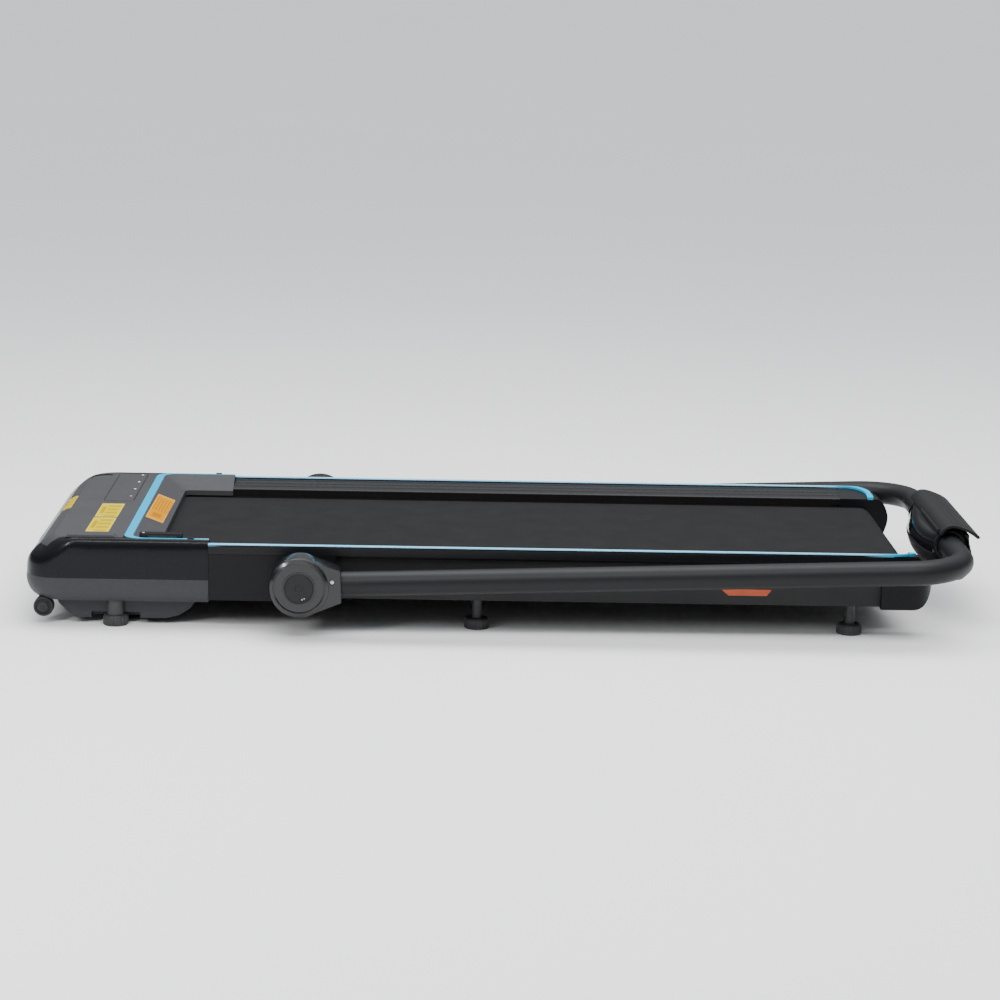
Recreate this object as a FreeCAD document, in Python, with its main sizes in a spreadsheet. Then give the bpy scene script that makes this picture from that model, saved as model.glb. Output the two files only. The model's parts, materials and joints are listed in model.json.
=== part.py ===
"""Walking treadmill with a folding handrail, as a parametric document.

The treadmill stands on its six feet with the handrail folded flat round the deck.
X runs along the belt, from the motor end (negative) to the back (positive), Y across it,
and Z up. The origin is on the floor, below the middle of the outline.
A walker on the belt faces the motor end, so their left is at negative Y.
"""
import FreeCAD, Part
import math
import os
import re

import Sketcher
from FreeCAD import Placement, Rotation, Vector

doc = FreeCAD.newDocument("walking_treadmill")
sheet = doc.addObject("Spreadsheet::Sheet", "dims")

DRIVING_SIZES = [
    # deck frame
    ("deck_side", 271.5, "half width over the foot rails and the motor housing"),
    ("frame_side", 262, "outer face of a frame tube"),
    ("frame_inside", 218, "inner face of a frame tube"),
    ("frame_low", 50, "underside of the frame tubes"),
    ("frame_high", 112, "top of the frame tubes"),
    ("frame_wall", 2.5, "wall of the frame tubes"),
    ("frame_front", -656.5, "front end of the frame tubes"),
    ("frame_back", 625.5, "back end of the frame tubes"),
    ("member_low", 66, "underside of the cross members"),
    ("member_high", 84, "top of the cross members"),
    ("member_width", 30, "width of a cross member along the belt"),
    ("member_wall", 2, "wall of the cross members"),
    ("cushion_radius", 12, "radius of a deck cushion"),
    ("cushion_side", 185, "deck cushions across the deck"),
    # belt run
    ("belt_side", 205, "half width of the running belt"),
    ("belt_top", 110, "height of the walking surface"),
    ("belt_sheet", 1.6, "thickness of the running belt"),
    ("belt_gap", 0.5, "space between the belt and a roller"),
    ("board_sheet", 15, "thickness of the deck board"),
    ("board_front", -531.5, "front end of the deck board"),
    ("board_back", 558.5, "back end of the deck board"),
    ("roller_radius", 22, "radius of both belt rollers"),
    ("roller_bore", 17.5, "bearing seat inside a roller"),
    ("axle_radius", 6, "radius of the roller axles and the motor shaft"),
    ("front_roller", -571.5, "front roller axis"),
    ("back_roller", 603.5, "back roller axis"),
    ("bearing_side", 195, "roller bearings across the deck"),
    ("bearing_width", 10, "width of a roller bearing"),
    ("pulley_radius", 35, "driven pulley on the front roller"),
    ("pulley_start", 207.5, "inner face of both pulleys"),
    ("pulley_end", 217, "outer face of both pulleys"),
    ("motor_axis", -646.5, "motor axis along the deck"),
    ("motor_height", 66, "motor axis above the floor"),
    ("motor_radius", 42, "radius of the motor case"),
    ("motor_pulley", 14, "radius of the pulley on the motor"),
    ("motor_start", 60, "inner end of the motor case"),
    ("motor_end", 190, "outer end of the motor case"),
    ("bell_length", 8, "length of each end bell of the motor"),
    ("tray_low", 19.5, "underside of the motor tray and the card's shelf"),
    ("tray_high", 23, "top of the motor tray and the card's shelf"),
    # foot rails and end caps
    ("rail_front", -460.5, "front end of the foot rails and back of the housing"),
    ("rail_back", 573, "back end of the foot rails"),
    ("rail_inside", 215, "inner face of a foot rail"),
    ("rail_top", 135, "top of the light line on a foot rail"),
    ("cap_back", 655.5, "back face of the end caps"),
    ("cap_low", 47.5, "underside of the end caps"),
    # motor housing
    ("nose", -745, "front of the motor housing"),
    ("split_height", 77, "joint between the two housing shells"),
    ("cover_top", 139, "top of the motor housing"),
    ("housing_low", 41, "underside of the lower shell"),
    ("shell_wall", 3, "wall of the housing shells"),
    ("stripe_front", -592, "front edge of the wide light stripe"),
    ("stripe_back", -578.5, "back edge of the wide light stripe"),
    ("stripe_side", 262, "outer edge of the light line beside the bezel"),
    ("bezel_side", 257.5, "outer edge of the bezel"),
    ("bezel_mouth", -541, "front edge of the belt opening"),
    ("mouth_side", 212, "half width of the belt opening"),
    ("mouth_height", 120, "lower edge of the bezel's slope"),
    ("belly_low", 10, "underside of the belly pan"),
    ("belly_side", 245, "half width of the belly pan"),
    # mains inlet in the nose
    ("inlet_face", -730, "front of the inlet module"),
    ("inlet_near", -224.7, "module's edge nearest the left side"),
    ("inlet_far", -115.3, "module's edge nearest the middle"),
    ("inlet_low", 86.3, "underside of the module"),
    ("inlet_high", 113.7, "top of the module"),
    ("inlet_middle", 100, "height of the socket, the rocker and the breaker"),
    ("breaker_side", -139, "breaker button across the nose"),
    # feet and transport wheels
    ("front_foot", -605, "front feet along the deck"),
    ("front_foot_side", 246, "front feet across the deck"),
    ("middle_foot", -48.3, "middle feet along the deck"),
    ("back_foot", 530.9, "back feet along the deck"),
    ("foot_side", 231.6, "middle and back feet across the deck"),
    ("foot_radius", 19.5, "radius of a foot's head"),
    ("foot_head", 16, "height of a foot's head"),
    ("stem_radius", 7.75, "radius of a foot's threaded stem"),
    ("wheel_along", -714.5, "transport wheels along the deck"),
    ("wheel_height", 28.5, "transport wheel axis above the floor"),
    ("wheel_radius", 15.5, "radius of a transport wheel"),
    ("wheel_side", 250, "middle of a transport wheel across the deck"),
    # folding handrail
    ("hub", -318, "handrail pivot along the deck"),
    ("hub_height", 83, "handrail pivot above the floor"),
    ("hub_radius", 46, "radius of a hub shell"),
    ("hub_inside", 295, "inner face of a hub shell"),
    ("hub_outside", 341.5, "outer face of a hub shell"),
    ("knob_outside", 343, "outer face of a lock knob"),
    ("knob_radius", 21.8, "radius of a lock knob"),
    ("pivot_radius", 8, "radius of a pivot bolt"),
    ("arm_side", 316, "handrail tube across the deck"),
    ("arm_tilt", 2.016, "rise of the folded handrail in degrees"),
    ("tube_radius", 19.05, "outer radius of the handrail tube"),
    ("tube_wall", 2, "wall of the handrail tube"),
    ("arm_start", 22, "start of the tube behind the pivot"),
    ("bar_reach", 1019, "crossbar from the pivot, along the handrail"),
    ("bend_radius", 90, "bend between an arm and the crossbar"),
    ("console_side", 138, "half width of the console body"),
    ("rest_side", 148, "half width of the tablet rest"),
]

ALIASES = set()
for row, (alias, number, meaning) in enumerate(DRIVING_SIZES, start=1):
    sheet.set("A%d" % row, meaning)
    sheet.set("B%d" % row, str(number))
    sheet.setAlias("B%d" % row, alias)
    ALIASES.add(alias)
doc.recompute()

NODES = []


# ---- helpers: sizes ----

def sized(expression):
    """Write the aliases of an expression the way the document reads them."""
    def name(match):
        word = match.group(0)
        return "dims." + word if word in ALIASES else word
    return re.sub(r"[a-z_]+[a-z0-9_]*", name, str(expression))


def value(expression):
    """The number that an expression over the sheet gives."""
    result = sheet.evalExpression(sized(expression))
    return float(getattr(result, "Value", result))


def bind(thing, setting, expression):
    """Drive one property of an object from the sheet."""
    thing.setExpression(setting, sized(expression))


def keep(thing, node):
    """Name a finished sub-part and remember it for the export."""
    thing.Label = node
    NODES.append(thing)
    return thing


# ---- helpers: sketches and bodies ----

def new_sketch(body, name, role, offset="0"):
    """Sketch on one of the body's own origin planes, moved along the plane's normal."""
    sketch = body.newObject("Sketcher::SketchObject", name)
    plane = [item for item in body.Origin.OriginFeatures if item.Role == role][0]
    sketch.AttachmentSupport = [(plane, "")]
    sketch.MapMode = "FlatFace"
    bind(sketch, "AttachmentOffset.Base.z", offset)
    return sketch


def drive_point(sketch, geometry, end, across, up):
    """Tie one point of the sketch to the sheet."""
    for kind, axis, expression in (("DistanceX", -2, across), ("DistanceY", -1, up)):
        number = value(expression)
        if abs(number) < 1e-9:
            sketch.addConstraint(Sketcher.Constraint("PointOnObject", geometry, end, axis))
            continue
        place = sketch.addConstraint(Sketcher.Constraint(kind, -1, 1, geometry, end, number))
        bind(sketch, "Constraints[%d]" % place, expression)


def add_outline(sketch, corners):
    """Closed polygon whose corners are pairs of expressions."""
    points = [Vector(value(across), value(up), 0) for across, up in corners]
    first = sketch.GeometryCount
    count = len(points)
    for index, point in enumerate(points):
        sketch.addGeometry(Part.LineSegment(point, points[(index + 1) % count]), False)
    for index in range(count):
        following = first + (index + 1) % count
        sketch.addConstraint(Sketcher.Constraint("Coincident", first + index, 2, following, 1))
    for index, (across, up) in enumerate(corners):
        drive_point(sketch, first + index, 1, across, up)


def add_circle(sketch, across, up, radius):
    """Full circle driven by its centre and radius."""
    centre = Vector(value(across), value(up), 0)
    place = sketch.addGeometry(Part.Circle(centre, Vector(0, 0, 1), value(radius)), False)
    drive_point(sketch, place, 3, across, up)
    size = sketch.addConstraint(Sketcher.Constraint("Radius", place, value(radius)))
    bind(sketch, "Constraints[%d]" % size, radius)


def add_loop(sketch, first, second):
    """Belt line round two circles, each (across, up, radius), as two arcs and two tangents."""
    places = [Vector(value(across), value(up), 0) for across, up, radius in (first, second)]
    radii = [value(first[2]), value(second[2])]
    run = places[1] - places[0]
    lean = math.atan2(run.y, run.x)
    spread = math.acos((radii[0] - radii[1]) / run.Length)
    spots = []
    for place, radius in zip(places, radii):
        for angle in (lean + spread, lean - spread):
            spots.append(place + Vector(math.cos(angle), math.sin(angle), 0) * radius)
    normal = Vector(0, 0, 1)
    start = sketch.GeometryCount
    turn = 2 * math.pi
    sketch.addGeometry(Part.ArcOfCircle(Part.Circle(places[0], normal, radii[0]),
                                        lean + spread, lean - spread + turn), False)
    sketch.addGeometry(Part.LineSegment(spots[1], spots[3]), False)
    sketch.addGeometry(Part.ArcOfCircle(Part.Circle(places[1], normal, radii[1]),
                                        lean - spread, lean + spread), False)
    sketch.addGeometry(Part.LineSegment(spots[2], spots[0]), False)
    for left, left_end, right, right_end in ((0, 2, 1, 1), (1, 2, 2, 1), (2, 2, 3, 1), (3, 2, 0, 1)):
        sketch.addConstraint(Sketcher.Constraint("Tangent", start + left, left_end,
                                                 start + right, right_end))
    for arc, (across, up, radius) in ((start, first), (start + 2, second)):
        drive_point(sketch, arc, 3, across, up)
        size = sketch.addConstraint(Sketcher.Constraint("Radius", arc, value(radius)))
        bind(sketch, "Constraints[%d]" % size, radius)


def new_body(name):
    return doc.addObject("PartDesign::Body", name)


def pad_sketch(body, sketch, role, low, high):
    """Pad a sketch from low to high along X, Y or Z, whichever its plane faces."""
    bind(sketch, "AttachmentOffset.Base.z", "-(%s)" % high if role == "XZ_Plane" else low)
    pad = body.newObject("PartDesign::Pad", sketch.Name + "_pad")
    pad.Profile = sketch
    bind(pad, "Length", "(%s) - (%s)" % (high, low))
    return pad


def plate(name, role, outlines, low, high):
    """Body padded from one or more polygons; inner polygons are holes."""
    body = new_body(name)
    sketch = new_sketch(body, name + "_outline", role)
    for corners in outlines:
        add_outline(sketch, corners)
    pad_sketch(body, sketch, role, low, high)
    return body


def turned(name, profile, role, along="0", up="0", side="0"):
    """Body turned about its own vertical sketch axis: Y for XY_Plane, Z for XZ_Plane."""
    body = new_body(name)
    sketch = new_sketch(body, name + "_profile", role)
    add_outline(sketch, profile)
    revolution = body.newObject("PartDesign::Revolution", name + "_turn")
    revolution.Profile = sketch
    revolution.ReferenceAxis = (sketch, ["V_Axis"])
    revolution.Angle = 360
    for axis, expression in (("x", along), ("y", side), ("z", up)):
        bind(body, "Placement.Base." + axis, expression)
    return body


def rectangle(left, right, low, high):
    return [(left, low), (right, low), (right, high), (left, high)]


def round_edges(body, picks, radius):
    """Fillet the edges of the body's tip whose middle points pass the test."""
    doc.recompute()
    tip = body.Tip
    names = []
    for index, edge in enumerate(tip.Shape.Edges, start=1):
        middle = edge.valueAt((edge.FirstParameter + edge.LastParameter) / 2)
        if picks(edge, middle):
            names.append("Edge%d" % index)
    fillet = body.newObject("PartDesign::Fillet", body.Name + "_rounding")
    fillet.Base = (tip, names)
    bind(fillet, "Radius", radius)
    body.Tip = fillet
    return fillet


# ---- helpers: primitives and booleans ----

TURNS = {"X": Rotation(Vector(0, 1, 0), 90), "Y": Rotation(Vector(1, 0, 0), -90), "Z": Rotation()}


def rod(name, axis, radius, low, high, first, second):
    """Cylinder along an axis from low to high; first and second place its centre line."""
    shape = doc.addObject("Part::Cylinder", name)
    shape.Placement = Placement(Vector(), TURNS[axis])
    bind(shape, "Radius", radius)
    bind(shape, "Height", "(%s) - (%s)" % (high, low))
    spots = {"X": (low, first, second), "Y": (first, low, second), "Z": (first, second, low)}
    for letter, expression in zip("xyz", spots[axis]):
        bind(shape, "Placement.Base." + letter, expression)
    return shape


def block(name, x_range, y_range, z_range):
    """Box between pairs of expressions."""
    shape = doc.addObject("Part::Box", name)
    ranges = (("Length", "x", x_range), ("Width", "y", y_range), ("Height", "z", z_range))
    for size, letter, (low, high) in ranges:
        bind(shape, size, "(%s) - (%s)" % (high, low))
        bind(shape, "Placement.Base." + letter, low)
    return shape


def fuse(name, shapes):
    joined = doc.addObject("Part::MultiFuse", name)
    joined.Shapes = shapes
    return joined


def cut(name, base, tools):
    """Base without the tools; several tools are joined first."""
    removed = doc.addObject("Part::Cut", name)
    removed.Base = base
    removed.Tool = tools[0] if len(tools) == 1 else fuse(name + "_tools", tools)
    return removed


def common(name, base, tool):
    shared = doc.addObject("Part::Common", name)
    shared.Base = base
    shared.Tool = tool
    return shared


def group(name, shapes):
    """Separate solids kept together under one name."""
    together = doc.addObject("Part::Compound", name)
    together.Links = shapes
    return together


def mirrored(name, source):
    """The same piece on the other side of the treadmill."""
    copy = doc.addObject("Part::Mirroring", name)
    copy.Source = source
    copy.Normal = Vector(0, 1, 0)
    return copy


def feature(name, shape):
    """A shape made in code from the sheet's sizes."""
    made = doc.addObject("Part::Feature", name)
    made.Shape = shape
    made.Placement = Placement()
    return made


def pair(stem, source):
    """Keep a left piece and its mirror image on the right."""
    keep(source, stem + "_left")
    keep(mirrored(stem + "_right_copy", source), stem + "_right")


# ---- frame ----

FEET = {"front": ("front_foot", "front_foot_side"),
        "middle": ("middle_foot", "foot_side"),
        "back": ("back_foot", "foot_side")}


MEMBER_STARTS = (-476.5, -196.5, 103.5, 403.5)


def make_frame():
    tube = plate("frame_tube", "YZ_Plane",
                 [rectangle("-frame_side", "-frame_inside", "frame_low", "frame_high"),
                  rectangle("-frame_side + frame_wall", "-frame_inside - frame_wall",
                            "frame_low + frame_wall", "frame_high - frame_wall")],
                 "frame_front", "frame_back")
    holes = []
    for place, (along, side) in FEET.items():
        holes.append(rod("stem_hole_" + place, "Z", "stem_radius + 0.75", "frame_low - 5",
                         "frame_low + 10", along, "-" + side))
    for end, along in (("front", "front_roller"), ("back", "back_roller")):
        holes.append(rod("axle_hole_" + end, "Y", "axle_radius", "-frame_inside - 5",
                         "-frame_inside + 5", along, "belt_top - belt_sheet - belt_gap - roller_radius"))
    holes.append(rod("pivot_hole", "Y", "pivot_radius", "-frame_side - 5", "-frame_side + 5",
                     "hub", "hub_height"))
    pair("frame_rail", cut("frame_rail", tube, holes))

    members = []
    for index, along in enumerate(MEMBER_STARTS):
        members.append(plate("member_%d" % index, "XZ_Plane",
                             [rectangle(along, "%s + member_width" % along, "member_low", "member_high"),
                              rectangle("%s + member_wall" % along, "%s + member_width - member_wall" % along,
                                        "member_low + member_wall", "member_high - member_wall")],
                             "-frame_inside", "frame_inside"))
    keep(group("members", members), "cross_members")

    board_low = "belt_top - belt_sheet - belt_gap + 0.1 - board_sheet"
    pucks = []
    for index, along in enumerate(MEMBER_STARTS):
        for word, sign in (("left", "-"), ("right", "")):
            pucks.append(rod("puck_%d_%s" % (index, word), "Z", "cushion_radius", "member_high", board_low,
                             "%s + member_width / 2" % along, sign + "cushion_side"))
    keep(group("pucks", pucks), "deck_cushions")
    keep(block("deck_board", ("board_front", "board_back"), ("-frame_inside + 4", "frame_inside - 4"),
               (board_low, "belt_top - belt_sheet - belt_gap + 0.1")), "deck_board")


AXIS_HEIGHT = "belt_top - belt_sheet - belt_gap - roller_radius"


def make_belt_run():
    belt = new_body("belt")
    sketch = new_sketch(belt, "belt_line", "XZ_Plane")
    for extra in ("belt_gap", "belt_gap + belt_sheet"):
        add_loop(sketch, ("front_roller", AXIS_HEIGHT, "roller_radius + " + extra),
                 ("back_roller", AXIS_HEIGHT, "roller_radius + " + extra))
    pad_sketch(belt, sketch, "XZ_Plane", "-belt_side", "belt_side")
    keep(belt, "running_belt")

    back = turned("back_drum", rectangle("roller_bore", "roller_radius", "-belt_side - 1", "belt_side + 1"),
                  "XY_Plane", "back_roller", AXIS_HEIGHT)
    keep(back, "rear_roller")
    front_profile = [("roller_bore", "-belt_side - 1"), ("roller_radius", "-belt_side - 1"),
                     ("roller_radius", "pulley_start"), ("pulley_radius", "pulley_start"),
                     ("pulley_radius", "pulley_end"), ("roller_bore", "pulley_end")]
    keep(turned("front_drum", front_profile, "XY_Plane", "front_roller", AXIS_HEIGHT), "front_roller")

    bearings, axles = [], []
    for end, along in (("front", "front_roller"), ("back", "back_roller")):
        for side in (-1, 1):
            bearings.append(turned("bearing_%s_%s" % (end, "left" if side < 0 else "right"),
                                   rectangle("axle_radius", "roller_bore - 0.05",
                                             "%d * bearing_side - bearing_width / 2" % side,
                                             "%d * bearing_side + bearing_width / 2" % side),
                                   "XY_Plane", along, AXIS_HEIGHT))
        axles.append(rod(end + "_axle", "Y", "axle_radius", "-frame_side + 10", "frame_side - 10",
                         along, AXIS_HEIGHT))
    keep(group("bearings", bearings), "roller_bearings")
    keep(group("axles", axles), "roller_axles")

    bolts = []
    for side, word in ((-1, "left"), (1, "right")):
        place = "%d * (frame_side - 22)" % side
        shank = rod("adjuster_shank_" + word, "X", "4", "back_roller + axle_radius", "cap_back - 7",
                    place, AXIS_HEIGHT)
        head = rod("adjuster_head_" + word, "X", "6.5", "cap_back - 7", "cap_back - 1", place, AXIS_HEIGHT)
        socket = rod("adjuster_socket_" + word, "X", "3", "cap_back - 4", "cap_back", place, AXIS_HEIGHT)
        bolts.append(cut("adjuster_" + word, fuse("adjuster_solid_" + word, [shank, head]), [socket]))
    keep(group("adjusters", bolts), "belt_tension_bolts")


# places on the control card: from the motor's axis along the deck, and across it
STANDOFFS = ((-22, -186), (34, -186), (-22, -64), (34, -64))
CAPACITORS = (-112, -84)


def make_drive():
    case = rod("motor_case", "Y", "motor_radius", "motor_start", "motor_end", "motor_axis", "motor_height")
    bells = [rod("motor_bell_%d" % index, "Y", "motor_radius - 8", low, high, "motor_axis", "motor_height")
             for index, (low, high) in enumerate((("motor_start - bell_length", "motor_start"),
                                                  ("motor_end", "motor_end + bell_length")))]
    bore = rod("motor_bore", "Y", "axle_radius + 0.06", "motor_start - 20", "motor_end + 15",
               "motor_axis", "motor_height")
    keep(cut("motor", fuse("motor_solid", [case] + bells), [bore]), "drive_motor")

    rotor_profile = [("0", "20"), ("30", "20"), ("30", "32"), ("axle_radius", "32"),
                     ("axle_radius", "pulley_start"), ("motor_pulley", "pulley_start"),
                     ("motor_pulley", "pulley_end"), ("0", "pulley_end")]
    keep(turned("rotor", rotor_profile, "XY_Plane", "motor_axis", "motor_height"), "motor_rotor")

    drive = new_body("drive_line_body")
    sketch = new_sketch(drive, "drive_line", "XZ_Plane")
    for extra in ("0.4", "3"):
        add_loop(sketch, ("motor_axis", "motor_height", "motor_pulley + " + extra),
                 ("front_roller", AXIS_HEIGHT, "pulley_radius + " + extra))
    pad_sketch(drive, sketch, "XZ_Plane", "pulley_start + 0.5", "pulley_end - 0.5")
    keep(drive, "drive_belt")

    strap = [("-255", "frame_low - 3.5"), ("-222", "frame_low - 3.5"), ("-222", "tray_low"),
             ("222", "tray_low"), ("222", "frame_low - 3.5"), ("255", "frame_low - 3.5"),
             ("255", "frame_low"), ("218.5", "frame_low"), ("218.5", "tray_high"), ("-218.5", "tray_high"),
             ("-218.5", "frame_low"), ("-255", "frame_low")]
    hanger = plate("hanger", "YZ_Plane", [strap], "frame_front + 2", "frame_front + 30")
    tray = block("motor_tray", ("motor_axis - 26", "motor_axis + motor_radius"),
                 ("motor_start - 10", "motor_end + 10"), ("tray_low", "tray_high"))
    saddles = [block("saddle_%d" % index, ("motor_axis - 30", "motor_axis + 30"),
                     (low, "%s + 4" % low), ("tray_high", "motor_height - 20"))
               for index, low in enumerate(("motor_start + 10", "motor_end - 20"))]
    hollow = rod("saddle_hollow", "Y", "motor_radius", "motor_start", "motor_end", "motor_axis",
                 "motor_height")
    solid = fuse("mount_solid", [hanger, tray] + saddles)
    keep(cut("mount", solid, [hollow]), "motor_mount")

    card_low, card_high = "tray_high + 4", "tray_high + 6"
    card = block("card", ("motor_axis - 30", "motor_axis + 38"), ("-190", "-60"), (card_low, card_high))
    parts = [card]
    for index, (along, side) in enumerate(STANDOFFS):
        parts.append(rod("standoff_%d" % index, "Z", "3", "tray_high", card_low, "motor_axis + %d" % along,
                         side))
    parts.append(block("sink", ("motor_axis - 20", "motor_axis + 20"), ("-185", "-130"),
                       (card_high, card_high + " + 23")))
    for index, side in enumerate(CAPACITORS):
        parts.append(rod("capacitor_%d" % index, "Z", "11", card_high, card_high + " + 35", "motor_axis", side))
    shelf = block("card_shelf", ("motor_axis - 26", "motor_axis + 42"), ("-200", "-50"),
                  ("tray_low", "tray_high"))
    gap = block("card_shelf_gap", ("frame_front + 1.8", "frame_front + 30.2"), ("-201", "-49"),
                ("tray_low - 0.5", "tray_high"))
    parts.append(cut("card_shelf_cut", shelf, [gap]))
    keep(fuse("controller", parts), "controller_board")


# ---- foot rails, end caps, side covers ----

GROOVES = 3
GROOVE_STEP = 15


def make_rails():
    section = [("-rail_inside", "frame_high"), ("-frame_side", "frame_high"), ("-frame_side", "frame_high + 6"),
               ("-deck_side", "frame_high + 6"), ("-deck_side", "rail_top - 4.5"),
               ("-deck_side + 4.5", "rail_top - 4.5"), ("-deck_side + 4.5", "rail_top - 3.4"),
               ("-deck_side + 9", "rail_top - 4.2")]
    for index in range(GROOVES):
        start = value("frame_side") - GROOVE_STEP * index
        fall = 4.4 + 1.9 * index
        section += [("-%g" % (start - 1), "rail_top - %g" % fall),
                    ("-%g" % (start - 2.5), "rail_top - %g" % (fall + 2.4)),
                    ("-%g" % (start - 6), "rail_top - %g" % (fall + 2.7)),
                    ("-%g" % (start - 7.5), "rail_top - %g" % (fall + 0.7))]
    section += [("-rail_inside - 2", "rail_top - 10.8"), ("-rail_inside", "rail_top - 12.5")]
    hollow = [("-rail_inside - 2.5", "frame_high + 2"), ("-frame_side + 1", "frame_high + 2"),
              ("-frame_side + 1", "rail_top - 9.5"), ("-rail_inside - 2.5", "rail_top - 15")]
    rail = plate("rail_bar", "YZ_Plane", [section, hollow], "rail_front", "rail_back")
    pair("foot_rail", rail)

    line = [("-deck_side", "rail_top - 4.5"), ("-deck_side + 4.5", "rail_top - 4.5"),
            ("-deck_side + 4.5", "rail_top - 1"), ("-deck_side + 3.5", "rail_top"),
            ("-deck_side + 0.8", "rail_top"), ("-deck_side", "rail_top - 0.8")]
    return plate("rail_line", "YZ_Plane", [line], "rail_front", "rail_back")


def plan_wire(front, side, corner, back, height):
    """Plan outline, open-ended at the back: straight sides and two rounded front corners."""
    slant = corner * math.sqrt(0.5)
    left, right = -side, side
    edges = []
    points = [Vector(back, left, height), Vector(front + corner, left, height)]
    edges.append(Part.LineSegment(points[0], points[1]).toShape())
    middle = Vector(front + corner - slant, left + corner - slant, height)
    after = Vector(front, left + corner, height)
    edges.append(Part.Arc(points[1], middle, after).toShape())
    across = Vector(front, right - corner, height)
    edges.append(Part.LineSegment(after, across).toShape())
    middle = Vector(front + corner - slant, right - corner + slant, height)
    beside = Vector(front + corner, right, height)
    edges.append(Part.Arc(across, middle, beside).toShape())
    end = Vector(back, right, height)
    edges.append(Part.LineSegment(beside, end).toShape())
    edges.append(Part.LineSegment(end, points[0]).toShape())
    return Part.Wire(edges)


def plan_block(front, side, corner, back, low, high):
    """Upright solid over a plan outline."""
    return Part.Face(plan_wire(front, side, corner, back, low)).extrude(Vector(0, 0, high - low))


def box(low, high):
    size = [top - bottom for bottom, top in zip(low, high)]
    return Part.makeBox(*size, Vector(*low))


def make_end_caps():
    side, inside = value("deck_side"), value("rail_inside")
    front, back = value("rail_back"), value("cap_back")
    top, low = value("rail_top"), value("cap_low")
    outline = [(front, low), (back - 32, low)]
    lower_bend = [(back - 10.5, low + 10.5), (back - 1.5, low + 32)]
    upper = [(back, low + 46), (back - 3, top - 30), (back - 14, top - 14), (back - 28, top - 4),
             (back - 44, top), (front, top)]
    curve = Part.BSplineCurve()
    bend = [Vector(x, -side, z) for x, z in [outline[1]] + lower_bend + upper[:4] + [upper[4]]]
    curve.interpolate(bend, InitialTangent=Vector(1, 0, 0), FinalTangent=Vector(-1, 0, 0))
    edges = [Part.LineSegment(Vector(front, -side, low), bend[0]).toShape(), curve.toShape(),
             Part.LineSegment(bend[-1], Vector(front, -side, top)).toShape(),
             Part.LineSegment(Vector(front, -side, top), Vector(front, -side, low)).toShape()]
    solid = Part.Face(Part.Wire(edges)).extrude(Vector(0, side - inside, 0))

    corner = 40
    slant = corner * math.sqrt(0.5)

    def plan_piece(inset, z_low, z_high, reach):
        """Plan of the cap with its outer back corner rounded, set in from the outline."""
        radius = corner - inset
        outer, rear = -side + inset, back + reach - inset
        turn = radius - radius * math.sqrt(0.5)
        spots = [Vector(front - 1, outer, z_low), Vector(rear - radius, outer, z_low),
                 Vector(rear - turn, outer + turn, z_low), Vector(rear, outer + radius, z_low),
                 Vector(rear, -inside + 1, z_low), Vector(front - 1, -inside + 1, z_low)]
        lines = [Part.LineSegment(spots[0], spots[1]).toShape(),
                 Part.Arc(spots[1], spots[2], spots[3]).toShape(),
                 Part.LineSegment(spots[3], spots[4]).toShape(),
                 Part.LineSegment(spots[4], spots[5]).toShape(),
                 Part.LineSegment(spots[5], spots[0]).toShape()]
        return Part.Face(Part.Wire(lines)).extrude(Vector(0, 0, z_high - z_low))

    solid = solid.common(plan_piece(0, low - 1, top + 1, 0))

    def under_slope(drop):
        """Everything below the cap's slanted top, lowered by drop."""
        corners = [Vector(front - 2, -side - 1, top - drop), Vector(front - 2, -side + 5, top - drop),
                   Vector(front - 2, -inside + 1, top - 8.5 - drop), Vector(front - 2, -inside + 1, low - 2),
                   Vector(front - 2, -side - 1, low - 2)]
        return Part.Face(Part.makePolygon(corners + corners[:1])).extrude(Vector(back - front + 4, 0, 0))

    accent_back = -26
    band = plan_piece(0, top - 30, top + 1, accent_back)
    band = band.cut(plan_piece(4.5, top - 31, top + 2, accent_back - 5.5))
    band = band.common(box((front, -side - 1, top - 30), (back, -inside, top + 1)))
    accent = band.common(under_slope(0)).cut(under_slope(4.5)).common(solid)
    body = solid.common(under_slope(0))
    raised = under_slope(0).cut(under_slope(3.4)).common(solid)
    raised = raised.cut(accent)
    body = body.cut(raised).cut(accent)
    frame_low, frame_high = value("frame_low"), value("frame_high")
    room = box((front - 1, -value("frame_side"), frame_low),
               (value("frame_back"), -value("frame_inside"), frame_high))
    inner = box((front + 3, -value("frame_side") - 6.5, low + 3), (back - 34, -inside - 3, frame_high + 2))
    height = value(AXIS_HEIGHT)
    rear = value("back_roller")
    slot = Part.makeCylinder(value("axle_radius") + 1, 20, Vector(rear, -inside - 10, height), Vector(0, 1, 0))
    bolt_side = -(value("frame_side") - 22)
    bolt_hole = Part.makeCylinder(7.2, 60, Vector(value("frame_back") - 1, bolt_side, height), Vector(1, 0, 0))
    body = body.cut(room).cut(inner).cut(slot).cut(bolt_hole)
    pair("end_cap", feature("cap", body))
    return feature("accent", accent)


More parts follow.
